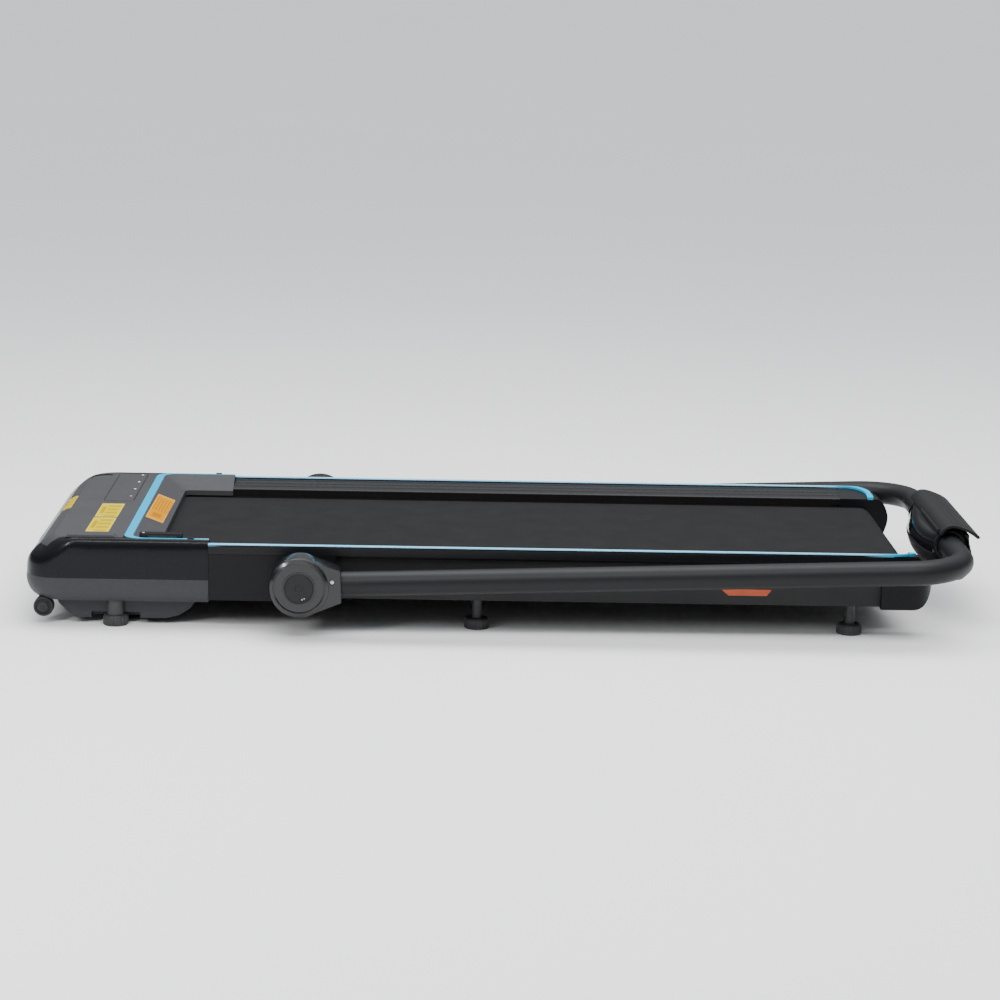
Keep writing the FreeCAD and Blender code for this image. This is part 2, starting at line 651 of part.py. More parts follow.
def make_side_covers():
    panel = plate("side_panel", "XZ_Plane",
                  [rectangle("rail_front + 0.5", "hub + 53", "46", "frame_high + 5.7")],
                  "-deck_side", "-frame_side - 0.2")
    boss = rod("hub_boss", "Y", "hub_radius - 6", "-hub_inside + 0.5", "-deck_side", "hub", "hub_height")
    hole = rod("cover_pivot_hole", "Y", "pivot_radius", "-hub_inside - 1", "-frame_side + 1",
               "hub", "hub_height")
    pair("side_cover", cut("cover_with_boss", fuse("cover_solid", [panel, boss]), [hole]))

    bolts = []
    for side, word in ((-1, "left"), (1, "right")):
        profile = [("0", "-hub_outside + 14.5"), ("0", "-frame_side + 9"), ("13", "-frame_side + 9"),
                   ("13", "-frame_side + 2.5"), ("pivot_radius", "-frame_side + 2.5"),
                   ("pivot_radius", "-hub_outside + 20"), ("14", "-hub_outside + 20"),
                   ("14", "-hub_outside + 14.5")]
        bolt = turned("pivot_bolt_" + word, profile, "XY_Plane", "hub", "hub_height")
        bolts.append(bolt if side < 0 else mirrored("pivot_bolt_turned_" + word, bolt))
    keep(group("pivots", bolts), "pivot_bolts")

    inserts = []
    for side, word in ((-1, "left"), (1, "right")):
        face = "%d * (frame_side + 0.6) - 0.6" % side
        corners = [("326.5", "74.5"), ("338", "64.5"), ("397", "64.5"), ("404.5", "74.5")]
        inserts.append(plate("reflector_" + word, "XZ_Plane", [corners], face, face + " + 1.2"))
    keep(group("reflectors", inserts), "side_reflectors")


# ---- motor housing ----

# height, front edge set back from the nose, half width set in from the deck's side, corner radius
LOWER_SECTIONS = ((0, 19, 8, 44), (9, 7.5, 2.5, 48), (21, 1.6, 0, 51), (36, 0.5, 0, 52))
UPPER_SECTIONS = ((0, 0.5, 0, 52), (12, 1.2, 0, 52), (24, 4, 0, 51.5), (34, 10.5, 0, 50),
                  (45, 21.5, 0.5, 48), (56, 34.5, 2.5, 45), (62, 45, 7.5, 42))


def housing_loft(sections, base, inset, back, top_cut=0):
    """Solid through plan outlines at rising heights; inset makes the cavity's shape."""
    wires = []
    for index, (rise, set_back, set_in, corner) in enumerate(sections):
        height = base + rise
        if top_cut and index >= len(sections) - 2:
            height -= top_cut * (index - len(sections) + 3) / 2
        wires.append(plan_wire(value("nose") + set_back + inset * 1.15, value("deck_side") - set_in - inset,
                               corner - inset, back, height))
    return Part.makeLoft(wires, True, False)


def hopper(margin):
    """Space above the bezel's slopes, widened by margin."""
    top = value("cover_top") + 0.5
    back = value("rail_front") + 30
    low = value("mouth_height")
    lower_edge = plan_wire(value("bezel_mouth") - margin, value("mouth_side") + margin, 10, back, low)
    upper_edge = plan_wire(value("stripe_back") + 0.5 - margin, value("bezel_side") - 0.5 + margin, 24,
                           back, top)
    sloped = Part.makeLoft([lower_edge, upper_edge], True, True)
    mouth = plan_block(value("bezel_mouth") - margin, value("mouth_side") + margin, 10, back,
                       value("frame_high") - 2, low)
    return sloped.fuse(mouth)


# front, back, left and right edges in plan
WINDOW = (-655, -608, 20, 250)
GRIP = (-680.5, -600.5, -262, -244)
BRIDGE = (-567.5, -501.5, -256, -241)
LID_OPENING = (-685, -497, -230, 230)
INLET_GAP = 0.3
EAR_THICKNESS = 5
WHEEL_ROOM = 24


def make_housing():
    nose, back, wall = value("nose"), value("rail_front"), value("shell_wall")
    split, top = value("split_height"), value("cover_top")
    outer = housing_loft(UPPER_SECTIONS, split, 0, back)
    inner = housing_loft(UPPER_SECTIONS, split, wall, back + 2, top_cut=wall)
    shell = outer.cut(inner)
    panel_front = nose - 20
    panel_low = top - 15
    panel_region = plan_block(panel_front, 256, 30, value("stripe_front") - 0.4, panel_low, top + 5)
    bezel_region = plan_block(value("stripe_front"), value("stripe_side"), 25, back + 5,
                              value("frame_high") - 1, top + 5)
    around_panel = plan_block(panel_front - 1, 256.4, 30, value("stripe_front") + 1, panel_low - 0.4, top + 5)
    inlet_hole = box((nose - 2, value("inlet_near") - INLET_GAP, value("inlet_low") - INLET_GAP),
                     (nose + 40, value("inlet_far") + INLET_GAP, value("inlet_high") + INLET_GAP))
    upper = shell.cut(around_panel).cut(bezel_region).cut(inlet_hole)
    keep(feature("upper_shell", upper), "housing_upper")

    panel = shell.common(panel_region)
    window_low, window_high, window_near, window_far = WINDOW
    pocket = box((window_low, window_near, top - 1.4), (window_high, window_far, top + 5))
    wedge_hole = Part.makeCone(30, 24, 10, Vector(nose + 72, 216, top - 1.6), Vector(0, 0, 1))
    wedge = wedge_hole.common(box((nose + 46, 190, top - 1.6), (nose + 78, 246, top + 5)))
    keep(feature("panel_skin", panel.cut(pocket).cut(wedge)), "top_panel")
    glass = box((window_low + 0.3, window_near + 0.3, top - 1.4),
                (window_high - 0.3, window_far - 0.3, top + 0.15))
    keep(feature("window_plate", glass), "display_window")

    stripe = plan_block(value("stripe_front") + 0.2, value("stripe_side") - 0.2, 25, back, top - 3.5, top + 0.5)
    opening = plan_block(value("stripe_back"), value("bezel_side"), 22, back + 5, top - 5, top + 5)
    keep(feature("stripe", stripe.cut(opening)), "cover_trim")

    rim = plan_block(value("stripe_back") + 0.2, value("bezel_side") - 0.2, 22, back,
                     value("frame_high"), top)
    room = plan_block(value("stripe_back") + 2.7, value("bezel_side") - 2.7, 19, back + 3,
                      value("frame_high") - 1, top - 3)
    bezel = rim.cut(hopper(0)).cut(room.cut(hopper(2.5)))
    pulley_room = Part.makeCylinder(value("pulley_radius") + 6, 18,
                                    Vector(value("front_roller"), 203, value(AXIS_HEIGHT)), Vector(0, 1, 0))
    bezel = max(bezel.cut(pulley_room).Solids, key=lambda solid: solid.Volume)
    keep(feature("bezel_rim", bezel), "front_bezel")

    grip_low, grip_high, grip_near, grip_far = GRIP
    grip_outline = [Vector(grip_low, grip_near, top), Vector(grip_high, grip_near, top),
                    Vector(grip_high - 6, grip_near, top + 4.5), Vector(grip_low + 6, grip_near, top + 4.5)]
    grip_bar = Part.Face(Part.makePolygon(grip_outline + grip_outline[:1])).extrude(
        Vector(0, grip_far - grip_near, 0))
    keep(feature("grip_bar", grip_bar), "panel_grip")

    bridge_low, bridge_high, bridge_near, bridge_far = BRIDGE
    bridge = plan_block(bridge_low, (bridge_far - bridge_near) / 2, 6, bridge_high, top - 3, top + 6.5)
    bridge.translate(Vector(0, (bridge_near + bridge_far) / 2, 0))
    slot = box((bridge_low + 12, bridge_near - 1, top), (bridge_high - 8, bridge_far + 1, top + 3.4))
    keep(feature("bridge", bridge.cut(slot).cut(rim.cut(hopper(0)))), "side_bridge")

    lower = housing_loft(LOWER_SECTIONS, value("housing_low"), 0, back)
    lower_inner = housing_loft(LOWER_SECTIONS, value("housing_low"), wall, back + 2)
    lower_inner = lower_inner.cut(box((nose - 5, -300, 0), (back + 5, 300, value("housing_low") + wall)))
    lid_front, lid_back, lid_left, lid_right = LID_OPENING
    lower = lower.cut(lower_inner).cut(box((lid_front, lid_left, 30), (lid_back, lid_right, 50)))
    wheel, wheel_z, side = value("wheel_along"), value("wheel_height"), value("wheel_side")
    for sign in (-1, 1):
        ear_start = sign * (side - 12) - EAR_THICKNESS / 2
        ear = Part.makeCylinder(9, EAR_THICKNESS, Vector(wheel, ear_start, wheel_z), Vector(0, 1, 0))
        strut = box((wheel - 9, ear_start, wheel_z), (wheel + 9, ear_start + EAR_THICKNESS, 64))
        lower = lower.fuse(ear.fuse(strut).cut(lower_inner))
        bore = Part.makeCylinder(4, 40, Vector(wheel, sign * side - 20, wheel_z), Vector(0, 1, 0))
        socket = Part.makeCylinder(13.8, 60, Vector(value("front_foot"), sign * value("front_foot_side"), 0))
        well = Part.makeCylinder(value("wheel_radius") + 2, WHEEL_ROOM,
                                 Vector(wheel, sign * (side + 3) - WHEEL_ROOM / 2, wheel_z), Vector(0, 1, 0))
        lower = lower.cut(bore).cut(socket).cut(well)
    keep(feature("lower_shell", lower.removeSplitter()), "housing_lower")


# screws that hold the pan, along the deck and across it
PAN_SCREWS = ((-655, -120), (-655, 120), (-617, -120), (-617, 120))


def make_belly():
    """Shallow pan under the motor, stepped round the two front feet."""
    outer_line = [("-697", "housing_low"), ("-692", "32"), ("-670", "belly_low"), ("-528", "belly_low"),
                  ("-508", "15"), ("-490", "26.5"), ("-480", "housing_low")]
    outer = plate("pan_outside", "XZ_Plane", [outer_line], "-belly_side", "belly_side")
    round_edges(outer, lambda edge, spot: edge.Length > 300 and abs(spot.z - value("belly_low")) < 0.1, "16")
    inner_line = [("-694", "housing_low + 1"), ("-689", "33"), ("-668", "belly_low + 2.5"),
                  ("-530", "belly_low + 2.5"), ("-510", "18"), ("-493", "29"), ("-484", "housing_low + 1")]
    inner = plate("pan_inside", "XZ_Plane", [inner_line], "-belly_side + 2.5", "belly_side - 2.5")
    ends = [block("pan_pad_" + word, ("-646.5", "-563.5"), y_range, ("belly_low - 1", "housing_low + 2"))
            for word, y_range in (("left", ("-belly_side - 1", "-223")), ("right", ("223", "belly_side + 1")))]
    cavity = cut("pan_cavity", inner, ends)
    tools = [cavity]
    for word, sign in (("left", "-"), ("right", "")):
        y_range = ("-belly_side - 5", "-226") if sign else ("226", "belly_side + 5")
        tools.append(block("pan_notch_" + word, ("-642.5", "-567"), y_range, ("belly_low - 5", "19")))
        tools.append(rod("pan_socket_hole_" + word, "Z", "13.8", "0", "60", "front_foot",
                         sign + "front_foot_side"))
    for index, (along, side) in enumerate(PAN_SCREWS):
        tools.append(rod("pan_screw_hole_%d" % index, "Z", "4", "belly_low - 1", "belly_low + 3", along, side))
    keep(cut("pan", outer, tools), "belly_pan")

    screws = []
    for index, (along, side) in enumerate(PAN_SCREWS):
        head = rod("pan_screw_head_%d" % index, "Z", "4", "belly_low + 0.2", "belly_low + 2.5", along, side)
        shank = rod("pan_screw_shank_%d" % index, "Z", "2", "belly_low + 2.5", "19.5", along, side)
        screws.append(fuse("pan_screw_%d" % index, [head, shank]))
    keep(group("pan_screws", screws), "cover_screws")


def make_inlet():
    """Appliance inlet, rocker switch and breaker button, set back in the nose."""
    face = "inlet_face"
    front = face + " - 1"
    solid = block("inlet_solid", (face, face + " + 27"), ("inlet_near", "inlet_far"),
                  ("inlet_low", "inlet_high"))
    socket = block("inlet_socket", (front, face + " + 18"), ("-220", "-193"),
                   ("inlet_middle - 10", "inlet_middle + 10"))
    rocker_room = block("rocker_room", (front, face + " + 18"), ("-178", "-163.4"),
                        ("inlet_middle - 10.5", "inlet_middle + 10.5"))
    button_room = rod("breaker_room", "X", "5.2", front, face + " + 16", "breaker_side", "inlet_middle")
    module = cut("inlet_module", solid, [socket, rocker_room, button_room])
    pins = []
    for index, (side, height) in enumerate((("-213.5", "inlet_middle - 2"), ("-206.5", "inlet_middle + 2"),
                                            ("-199.5", "inlet_middle - 2"))):
        pins.append(block("inlet_pin_%d" % index, (face + " + 4", face + " + 20"),
                          (side + " - 1", side + " + 1"), (height + " - 2", height + " + 2")))
    pivot = face + " + 9"
    pins.append(rod("rocker_pin", "Y", "1.5", "-179", "-162.4", pivot, "inlet_middle"))
    keep(fuse("inlet_with_pins", [module] + pins), "power_inlet")

    rocker_line = [("-7.5", "-9"), ("-6.3", "0"), ("-7.5", "9"), ("0", "7.5"), ("4", "4"), ("4", "-4"),
                   ("0", "-7.5")]
    rocker = plate("rocker", "XZ_Plane", [rocker_line], "-177.7", "-163.7")
    rocker.Placement = Placement(Vector(), Rotation(Vector(0, 1, 0), 8))
    bind(rocker, "Placement.Base.x", pivot)
    bind(rocker, "Placement.Base.z", "inlet_middle")
    bore = rod("rocker_bore", "Y", "1.56", "-179", "-162.4", pivot, "inlet_middle")
    keep(cut("rocker_bored", rocker, [bore]), "power_rocker")
    keep(rod("breaker", "X", "5", face + " - 1.5", face + " + 12", "breaker_side", "inlet_middle"),
         "breaker_button")


# ---- feet and transport wheels ----

def make_feet():
    for place, (along, side) in FEET.items():
        reach = "64" if place == "front" else "74"
        for sign, word in (("-", "left"), ("", "right")):
            stem_name = "foot_%s_%s" % (place, word)
            profile = [("0", "0"), ("foot_radius - 1.5", "0"), ("foot_radius", "1.5"),
                       ("foot_radius", "foot_head - 3"), ("foot_radius - 3", "foot_head"),
                       ("stem_radius", "foot_head"), ("stem_radius", reach), ("0", reach)]
            foot = turned(stem_name + "_body", profile, "XZ_Plane", along, "0", sign + side)
            flute = new_sketch(foot, stem_name + "_flute", "XY_Plane")
            add_circle(flute, "foot_radius + 0.9", "0", "2.2")
            pocket = foot.newObject("PartDesign::Pocket", stem_name + "_pocket")
            pocket.Profile = flute
            pocket.Reversed = True
            bind(pocket, "Length", "foot_head")
            flutes = foot.newObject("PartDesign::PolarPattern", stem_name + "_flutes")
            flutes.Originals = [pocket]
            flutes.Axis = (flute, ["N_Axis"])
            flutes.Angle = 360
            flutes.Occurrences = 20
            foot.Tip = flutes
            keep(foot, "foot_%s_%s" % ("rear" if place == "back" else place, word))

    rings = []
    for place, (along, side) in FEET.items():
        for sign, word in (("-", "left"), ("", "right")):
            front = place == "front"
            ring = rectangle("stem_radius + 0.07", "13.5" if front else "10.5",
                             "foot_head + 0.5" if front else "frame_low + frame_wall",
                             "frame_low" if front else "frame_low + 13")
            rings.append(turned("socket_%s_%s" % (place, word), ring, "XZ_Plane", along, "0", sign + side))
    keep(group("sockets", rings), "foot_sockets")


def make_wheels():
    profile = [("4.06", "-wheel_side - 8"), ("8", "-wheel_side - 8"), ("8", "-wheel_side - 6"),
               ("wheel_radius - 4.5", "-wheel_side - 6"), ("wheel_radius - 3.5", "-wheel_side - 8"),
               ("wheel_radius - 1.5", "-wheel_side - 8"),
               ("wheel_radius", "-wheel_side - 6.5"), ("wheel_radius", "-wheel_side + 6.5"),
               ("wheel_radius - 1.5", "-wheel_side + 8"), ("4.06", "-wheel_side + 8")]
    pair("transport_wheel", turned("wheel", profile, "XY_Plane", "wheel_along", "wheel_height"))
    bolt = [("0", "-wheel_side - 11"), ("6.5", "-wheel_side - 11"), ("6.5", "-wheel_side - 8.4"),
            ("4", "-wheel_side - 8.4"), ("4", "-wheel_side + 18"), ("0", "-wheel_side + 18")]
    left = turned("wheel_bolt", bolt, "XY_Plane", "wheel_along", "wheel_height")
    keep(group("wheel_bolts", [left, mirrored("wheel_bolt_copy", left)]), "wheel_axles")


# ---- folding handrail, drawn flat from its pivot and then tilted ----

def tilt(thing):
    """Lay a handrail piece, drawn from the pivot, at the folded handrail's angle."""
    thing.Placement = Placement(Vector(), Rotation(Vector(0, 1, 0), -value("arm_tilt")))
    bind(thing, "Placement.Base.x", "hub")
    bind(thing, "Placement.Base.z", "hub_height")
    return thing


def make_handrail():
    tube = new_body("rail_tube")
    spine = new_sketch(tube, "tube_line", "XY_Plane")
    start, reach = value("arm_start"), value("bar_reach")
    side, bend = value("arm_side"), value("bend_radius")
    normal = Vector(0, 0, 1)
    spine.addGeometry(Part.LineSegment(Vector(start, -side, 0), Vector(reach - bend, -side, 0)), False)
    spine.addGeometry(Part.ArcOfCircle(Part.Circle(Vector(reach - bend, -side + bend, 0), normal, bend),
                                       -math.pi / 2, 0), False)
    spine.addGeometry(Part.LineSegment(Vector(reach, -side + bend, 0), Vector(reach, side - bend, 0)), False)
    spine.addGeometry(Part.ArcOfCircle(Part.Circle(Vector(reach - bend, side - bend, 0), normal, bend),
                                       0, math.pi / 2), False)
    spine.addGeometry(Part.LineSegment(Vector(reach - bend, side, 0), Vector(start, side, 0)), False)
    for index in range(4):
        spine.addConstraint(Sketcher.Constraint("Tangent", index, 2, index + 1, 1))
    drive_point(spine, 0, 1, "arm_start", "-arm_side")
    drive_point(spine, 4, 2, "arm_start", "arm_side")
    for arc, centre in ((1, "-arm_side + bend_radius"), (3, "arm_side - bend_radius")):
        drive_point(spine, arc, 3, "bar_reach - bend_radius", centre)
    ring = new_sketch(tube, "tube_ring", "YZ_Plane", "arm_start")
    add_circle(ring, "-arm_side", "0", "tube_radius")
    add_circle(ring, "-arm_side", "0", "tube_radius - tube_wall")
    pipe = tube.newObject("PartDesign::AdditivePipe", "tube_sweep")
    pipe.Profile = ring
    pipe.Spine = (spine, ["Edge%d" % index for index in range(1, 6)])
    keep(tilt(tube), "handrail_tube")

    disc_profile = [("pivot_radius + 0.08", "-hub_inside"), ("hub_radius - 3", "-hub_inside"),
                    ("hub_radius", "-hub_inside - 3"), ("hub_radius", "-hub_outside + 6"),
                    ("hub_radius - 1.5", "-hub_outside + 2"), ("hub_radius - 5.5", "-hub_outside"),
                    ("knob_radius + 0.4", "-hub_outside"), ("knob_radius + 0.4", "-hub_outside + 8"),
                    ("14.6", "-hub_outside + 8"), ("14.6", "-hub_outside + 21"),
                    ("pivot_radius + 0.08", "-hub_outside + 21")]
    disc = turned("hub_disc", disc_profile, "XY_Plane")
    neck = plate("hub_neck", "XZ_Plane",
                 [[("23", "-39"), ("38", "-33.5"), ("50", "-29"), ("63.5", "-24"), ("63.5", "24"), ("50", "29"),
                   ("38", "33.5"), ("23", "39")]], "-hub_outside + 3", "-hub_inside - 1.5")
    round_edges(neck, lambda edge, spot: spot.x > 60, "3")
    crescent_rim = rod("crescent_rim", "Y", "39", "-hub_outside - 1", "-hub_outside + 1.8", "0", "0")
    crescent_core = rod("crescent_core", "Y", "27", "-hub_outside - 2", "-hub_outside + 3", "0", "0")
    crescent_ring = cut("crescent_ring", crescent_rim, [crescent_core])
    below = block("crescent_part", ("-45", "45"), ("-hub_outside - 2", "-hub_outside + 3"), ("-45", "-13"))
    bore = rod("hub_tube_bore", "X", "tube_radius", "arm_start", "80", "-arm_side", "0")
    screw_hole = rod("hub_screw_hole", "Y", "4.1", "-hub_outside + 2", "-hub_outside + 6", "50", "7.5")
    shell = cut("hub", fuse("hub_solid", [disc, neck]),
                [common("crescent", crescent_ring, below), bore, screw_hole])
    pair("hub_shell", tilt(shell))

    knob_profile = [("0", "-knob_outside + 9"), ("knob_radius", "-knob_outside + 9"),
                    ("knob_radius", "-knob_outside + 1"), ("knob_radius - 1", "-knob_outside"),
                    ("6.5", "-knob_outside"), ("5.5", "-knob_outside + 1"), ("0", "-knob_outside + 1")]
    pair("lock_knob", tilt(turned("knob", knob_profile, "XY_Plane")))


# ---- console across the crossbar ----

def console_wire(side, inset):
    """Section of the console body at one place across it; its front bulges at the middle."""
    bulge = 20 * (side / value("console_side")) ** 2
    centre = Vector(700.5, side, 104)

    def spots(points):
        placed = []
        for along, height, share in points:
            spot = Vector(along + bulge * share, side, height)
            inward = centre - spot
            placed.append(spot + inward.normalize() * inset)
        return placed

    front = spots([(683, 139, 0.1), (669.5, 131, 0.7), (661, 115, 1), (660.5, 99, 1), (667, 82, 0.8),
                   (679, 71, 0.5), (692, 66, 0)])
    rear = spots([(717, 66, 0), (729, 75, 0), (735.5, 91, 0), (735, 106, 0), (731, 121, 0), (729, 139, 0)])
    edges = []
    for run in (front, rear):
        curve = Part.BSplineCurve()
        curve.interpolate(run)
        edges.append(curve.toShape())
    bottom = Part.LineSegment(front[-1], rear[0]).toShape()
    top = Part.LineSegment(rear[-1], front[0]).toShape()
    return Part.Wire([edges[0], bottom, edges[1], top])


def console_loft(inset, end_inset):
    half = value("console_side") - end_inset
    return Part.makeLoft([console_wire(half * share, inset) for share in (-1, -0.5, 0, 0.5, 1)], True, False)


BUTTONS = {"start_button": -72, "slower_button": -94, "faster_button": -116}
BUTTON_ALONG = 704
BULKHEAD_STARTS = (-118, 112)
BULKHEAD = 6
AROUND_CONSOLE = ((640, 60), (745, 141))
FACE_BACK, FACE_SIDE, FACE_LOW, FACE_HIGH = 682, 122, 106, 135.5
FACE_GAP = 0.3
END_RECESS = 10
END_STARTS = (-139, 118)
END_DEPTH = 21
SCREEN_FRONT, SCREEN_BACK, SCREEN_SIDE, SCREEN_GAP = 691, 717, 46, 0.2
REST_RIBS = (-64, 58)


def make_console():
    outer, inner = console_loft(0, 0), console_loft(3, 3)
    shell = outer.cut(inner)
    (around_front, around_low), (around_back, around_high) = AROUND_CONSOLE
    for side in BULKHEAD_STARTS:
        slab = box((around_front, side, around_low), (around_back, side + BULKHEAD, around_high))
        shell = shell.fuse(outer.common(slab))
    face_region = box((around_front, -FACE_SIDE, FACE_LOW), (FACE_BACK, FACE_SIDE, FACE_HIGH))
    face_room = box((around_front - 1, -FACE_SIDE - FACE_GAP, FACE_LOW - FACE_GAP),
                    (FACE_BACK + FACE_GAP, FACE_SIDE + FACE_GAP, FACE_HIGH + FACE_GAP))
    bar_centre = Vector(value("hub") + value("bar_reach") * math.cos(math.radians(value("arm_tilt"))), 0,
                        value("hub_height") + value("bar_reach") * math.sin(math.radians(value("arm_tilt"))))
    bar_hole = Part.makeCylinder(value("tube_radius"), 400, bar_centre - Vector(0, 200, 0), Vector(0, 1, 0))
    room_round_bar = bar_hole
    for start in END_STARTS:
        end_room = Part.makeCylinder(value("tube_radius") + END_RECESS, END_DEPTH,
                                     bar_centre + Vector(0, start, 0), Vector(0, 1, 0))
        room_round_bar = room_round_bar.fuse(end_room)
    body = shell.cut(face_room).cut(room_round_bar)
    body = body.cut(box((SCREEN_FRONT, -SCREEN_SIDE, 60), (SCREEN_BACK, SCREEN_SIDE, 70)))
    for node, side in BUTTONS.items():
        body = body.cut(Part.makeCylinder(8.3, 15, Vector(BUTTON_ALONG, side, 60)))
    body = max(body.Solids, key=lambda solid: solid.Volume)
    keep(feature("console_shell", body), "console_body")
    face = shell.common(face_region).cut(room_round_bar)
    face = max(face.Solids, key=lambda solid: solid.Volume)
    keep(feature("console_face", face), "console_panel")
    glass = box((SCREEN_FRONT + SCREEN_GAP, -SCREEN_SIDE + SCREEN_GAP, 65.4),
                (SCREEN_BACK - SCREEN_GAP, SCREEN_SIDE - SCREEN_GAP, 68.5))
    keep(feature("console_glass", glass), "console_display")
    for node, side in BUTTONS.items():
        button = rod(node + "_cap", "Z", "8", "64.2", "70", BUTTON_ALONG, side)
        keep(button, node)

    half = value("rest_side")
    over_line = ((681, 140.5), (686, 149), (696, 155), (709, 154.6), (722, 150.5), (742.5, 139.5), (745, 137))
    under_line = ((741, 134.5), (720.5, 147.2), (708.5, 151.1), (697.5, 151.4), (689, 147), (684.6, 139.2))
    over = [Vector(along, -half, height) for along, height in over_line]
    under = [Vector(along, -half, height) for along, height in under_line]
    edges = []
    for run in (over, under):
        curve = Part.BSplineCurve()
        curve.interpolate(run)
        edges.append(curve.toShape())
    edges.append(Part.LineSegment(over[-1], under[0]).toShape())
    edges.append(Part.LineSegment(under[-1], over[0]).toShape())
    hood = Part.Face(Part.Wire(Part.__sortEdges__(edges))).extrude(Vector(0, 2 * half, 0))
    for side in REST_RIBS:
        rib = box((693, side, 139), (719, side + BULKHEAD, 149))
        hood = hood.fuse(rib)
    keep(feature("rest", hood.removeSplitter()), "tablet_rest")


make_frame()
make_belt_run()
make_drive()
light_lines = [make_rails(), make_end_caps()]
light_lines += [mirrored(line.Name + "_copy", line) for line in light_lines]
keep(group("light_lines", light_lines), "side_accents")
make_side_covers()
make_housing()
make_belly()
make_inlet()
make_feet()
make_wheels()
make_handrail()
make_console()
doc.recompute()

for thing in doc.Objects:
    if {"Invalid", "Error"} & set(thing.State):
        raise RuntimeError("%s did not compute: %s" % (thing.Name, thing.State))
for thing in NODES:
    shape = thing.Shape
    if shape.isNull() or not shape.isValid() or shape.Volume <= 0:
        raise RuntimeError("%s has no valid solid" % thing.Label)

os.makedirs("parts", exist_ok=True)
for thing in NODES:
    thing.Shape.exportStep("parts/%s.step" % thing.Label)
    print("%-24s %9.1f cm3  %d solids" % (thing.Label, thing.Shape.Volume / 1000, len(thing.Shape.Solids)))
print(len(NODES), "sub-parts")
whole = Part.makeCompound([thing.Shape for thing in NODES]).optimalBoundingBox(False)
print("box", [round(number, 2) for number in (whole.XMin, whole.XMax, whole.YMin, whole.YMax,
                                              whole.ZMin, whole.ZMax)])
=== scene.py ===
# %% [markdown]
# A folding walking treadmill, finished around its CAD frame.
# The moving parts, the shells and the tube already have their real shape and place in the packed
# model, so this script keeps them as they are. It gives each one a finish, rounds the edges that
# catch the light, and adds the small trim that a drawing leaves out: printed labels, indicator
# lamps, screws, clips, seams and the console's frame. Everything is in metres, Z up, and the
# walker's left side is at negative Y.

import bpy
import json
import math
from mathutils import Matrix, Vector
from mathutils.bvhtree import BVHTree


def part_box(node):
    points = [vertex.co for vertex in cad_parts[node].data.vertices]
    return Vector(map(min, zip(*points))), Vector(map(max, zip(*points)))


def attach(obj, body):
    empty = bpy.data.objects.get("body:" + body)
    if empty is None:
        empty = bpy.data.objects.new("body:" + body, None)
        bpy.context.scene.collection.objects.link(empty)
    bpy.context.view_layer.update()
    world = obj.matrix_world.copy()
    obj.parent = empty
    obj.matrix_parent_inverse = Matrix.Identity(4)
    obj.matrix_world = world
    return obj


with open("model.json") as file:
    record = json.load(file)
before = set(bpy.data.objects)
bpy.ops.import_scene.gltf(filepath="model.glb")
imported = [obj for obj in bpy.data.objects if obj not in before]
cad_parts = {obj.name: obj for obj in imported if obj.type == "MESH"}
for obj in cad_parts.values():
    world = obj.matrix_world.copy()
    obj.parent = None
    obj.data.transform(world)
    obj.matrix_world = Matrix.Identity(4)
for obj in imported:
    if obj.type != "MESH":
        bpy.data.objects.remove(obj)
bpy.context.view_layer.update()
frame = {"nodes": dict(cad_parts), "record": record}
scene = bpy.context.scene
MM = 0.001

# %% [markdown]
# Shader nodes are easier to read when each one is written on one line with its inputs.
# The helper adds a node, sets its options, and fills its inputs: a number or a colour is set on
# the socket, and another node's output is linked to it.

# %% A helper that writes shader nodes
def add(tree, kind, inputs=None, **options):
    """Add a node; each input is a value, or another node's output socket."""
    node = tree.nodes.new("ShaderNode" + kind)
    for option, setting in options.items():
        setattr(node, option, setting)
    for place, source in (inputs or {}).items():
        if isinstance(source, bpy.types.NodeSocket):
            tree.links.new(source, node.inputs[place])
        else:
            node.inputs[place].default_value = source
    return node


def mix_colour(tree, share, first, second):
    """Blend two colours by a share from 0 to 1."""
    node = add(tree, "Mix", data_type="RGBA")
    for place, source in (("Factor_Float", share), ("A_Color", first), ("B_Color", second)):
        socket = [item for item in node.inputs if item.identifier == place][0]
        if isinstance(source, bpy.types.NodeSocket):
            tree.links.new(source, socket)
        else:
            socket.default_value = source
    return [item for item in node.outputs if item.identifier == "Result_Color"][0]


def new_group(name, inputs, outputs):
    """Node group with float inputs (name, default) and named outputs; returns it with its ends."""
    group = bpy.data.node_groups.new(name, "ShaderNodeTree")
    group.interface.new_socket("Vector", in_out="INPUT", socket_type="NodeSocketVector")
    for label, default in inputs:
        socket = group.interface.new_socket(label, in_out="INPUT", socket_type="NodeSocketFloat")
        socket.default_value = default
    for label in outputs:
        group.interface.new_socket(label, in_out="OUTPUT", socket_type="NodeSocketFloat")
    start = group.nodes.new("NodeGroupInput")
    end = group.nodes.new("NodeGroupOutput")
    return group, start.outputs, end.inputs


# %% [markdown]
# Moulded plastic is never smooth: the mould is etched, so the surface has a fine leather-like
# grain that breaks up reflections. It could be a bump picture, but a procedural one has no
# seams and no limit of size. Two noises at different scales make the grain, and the same value
# shades the colour a little, as pits hold less light.

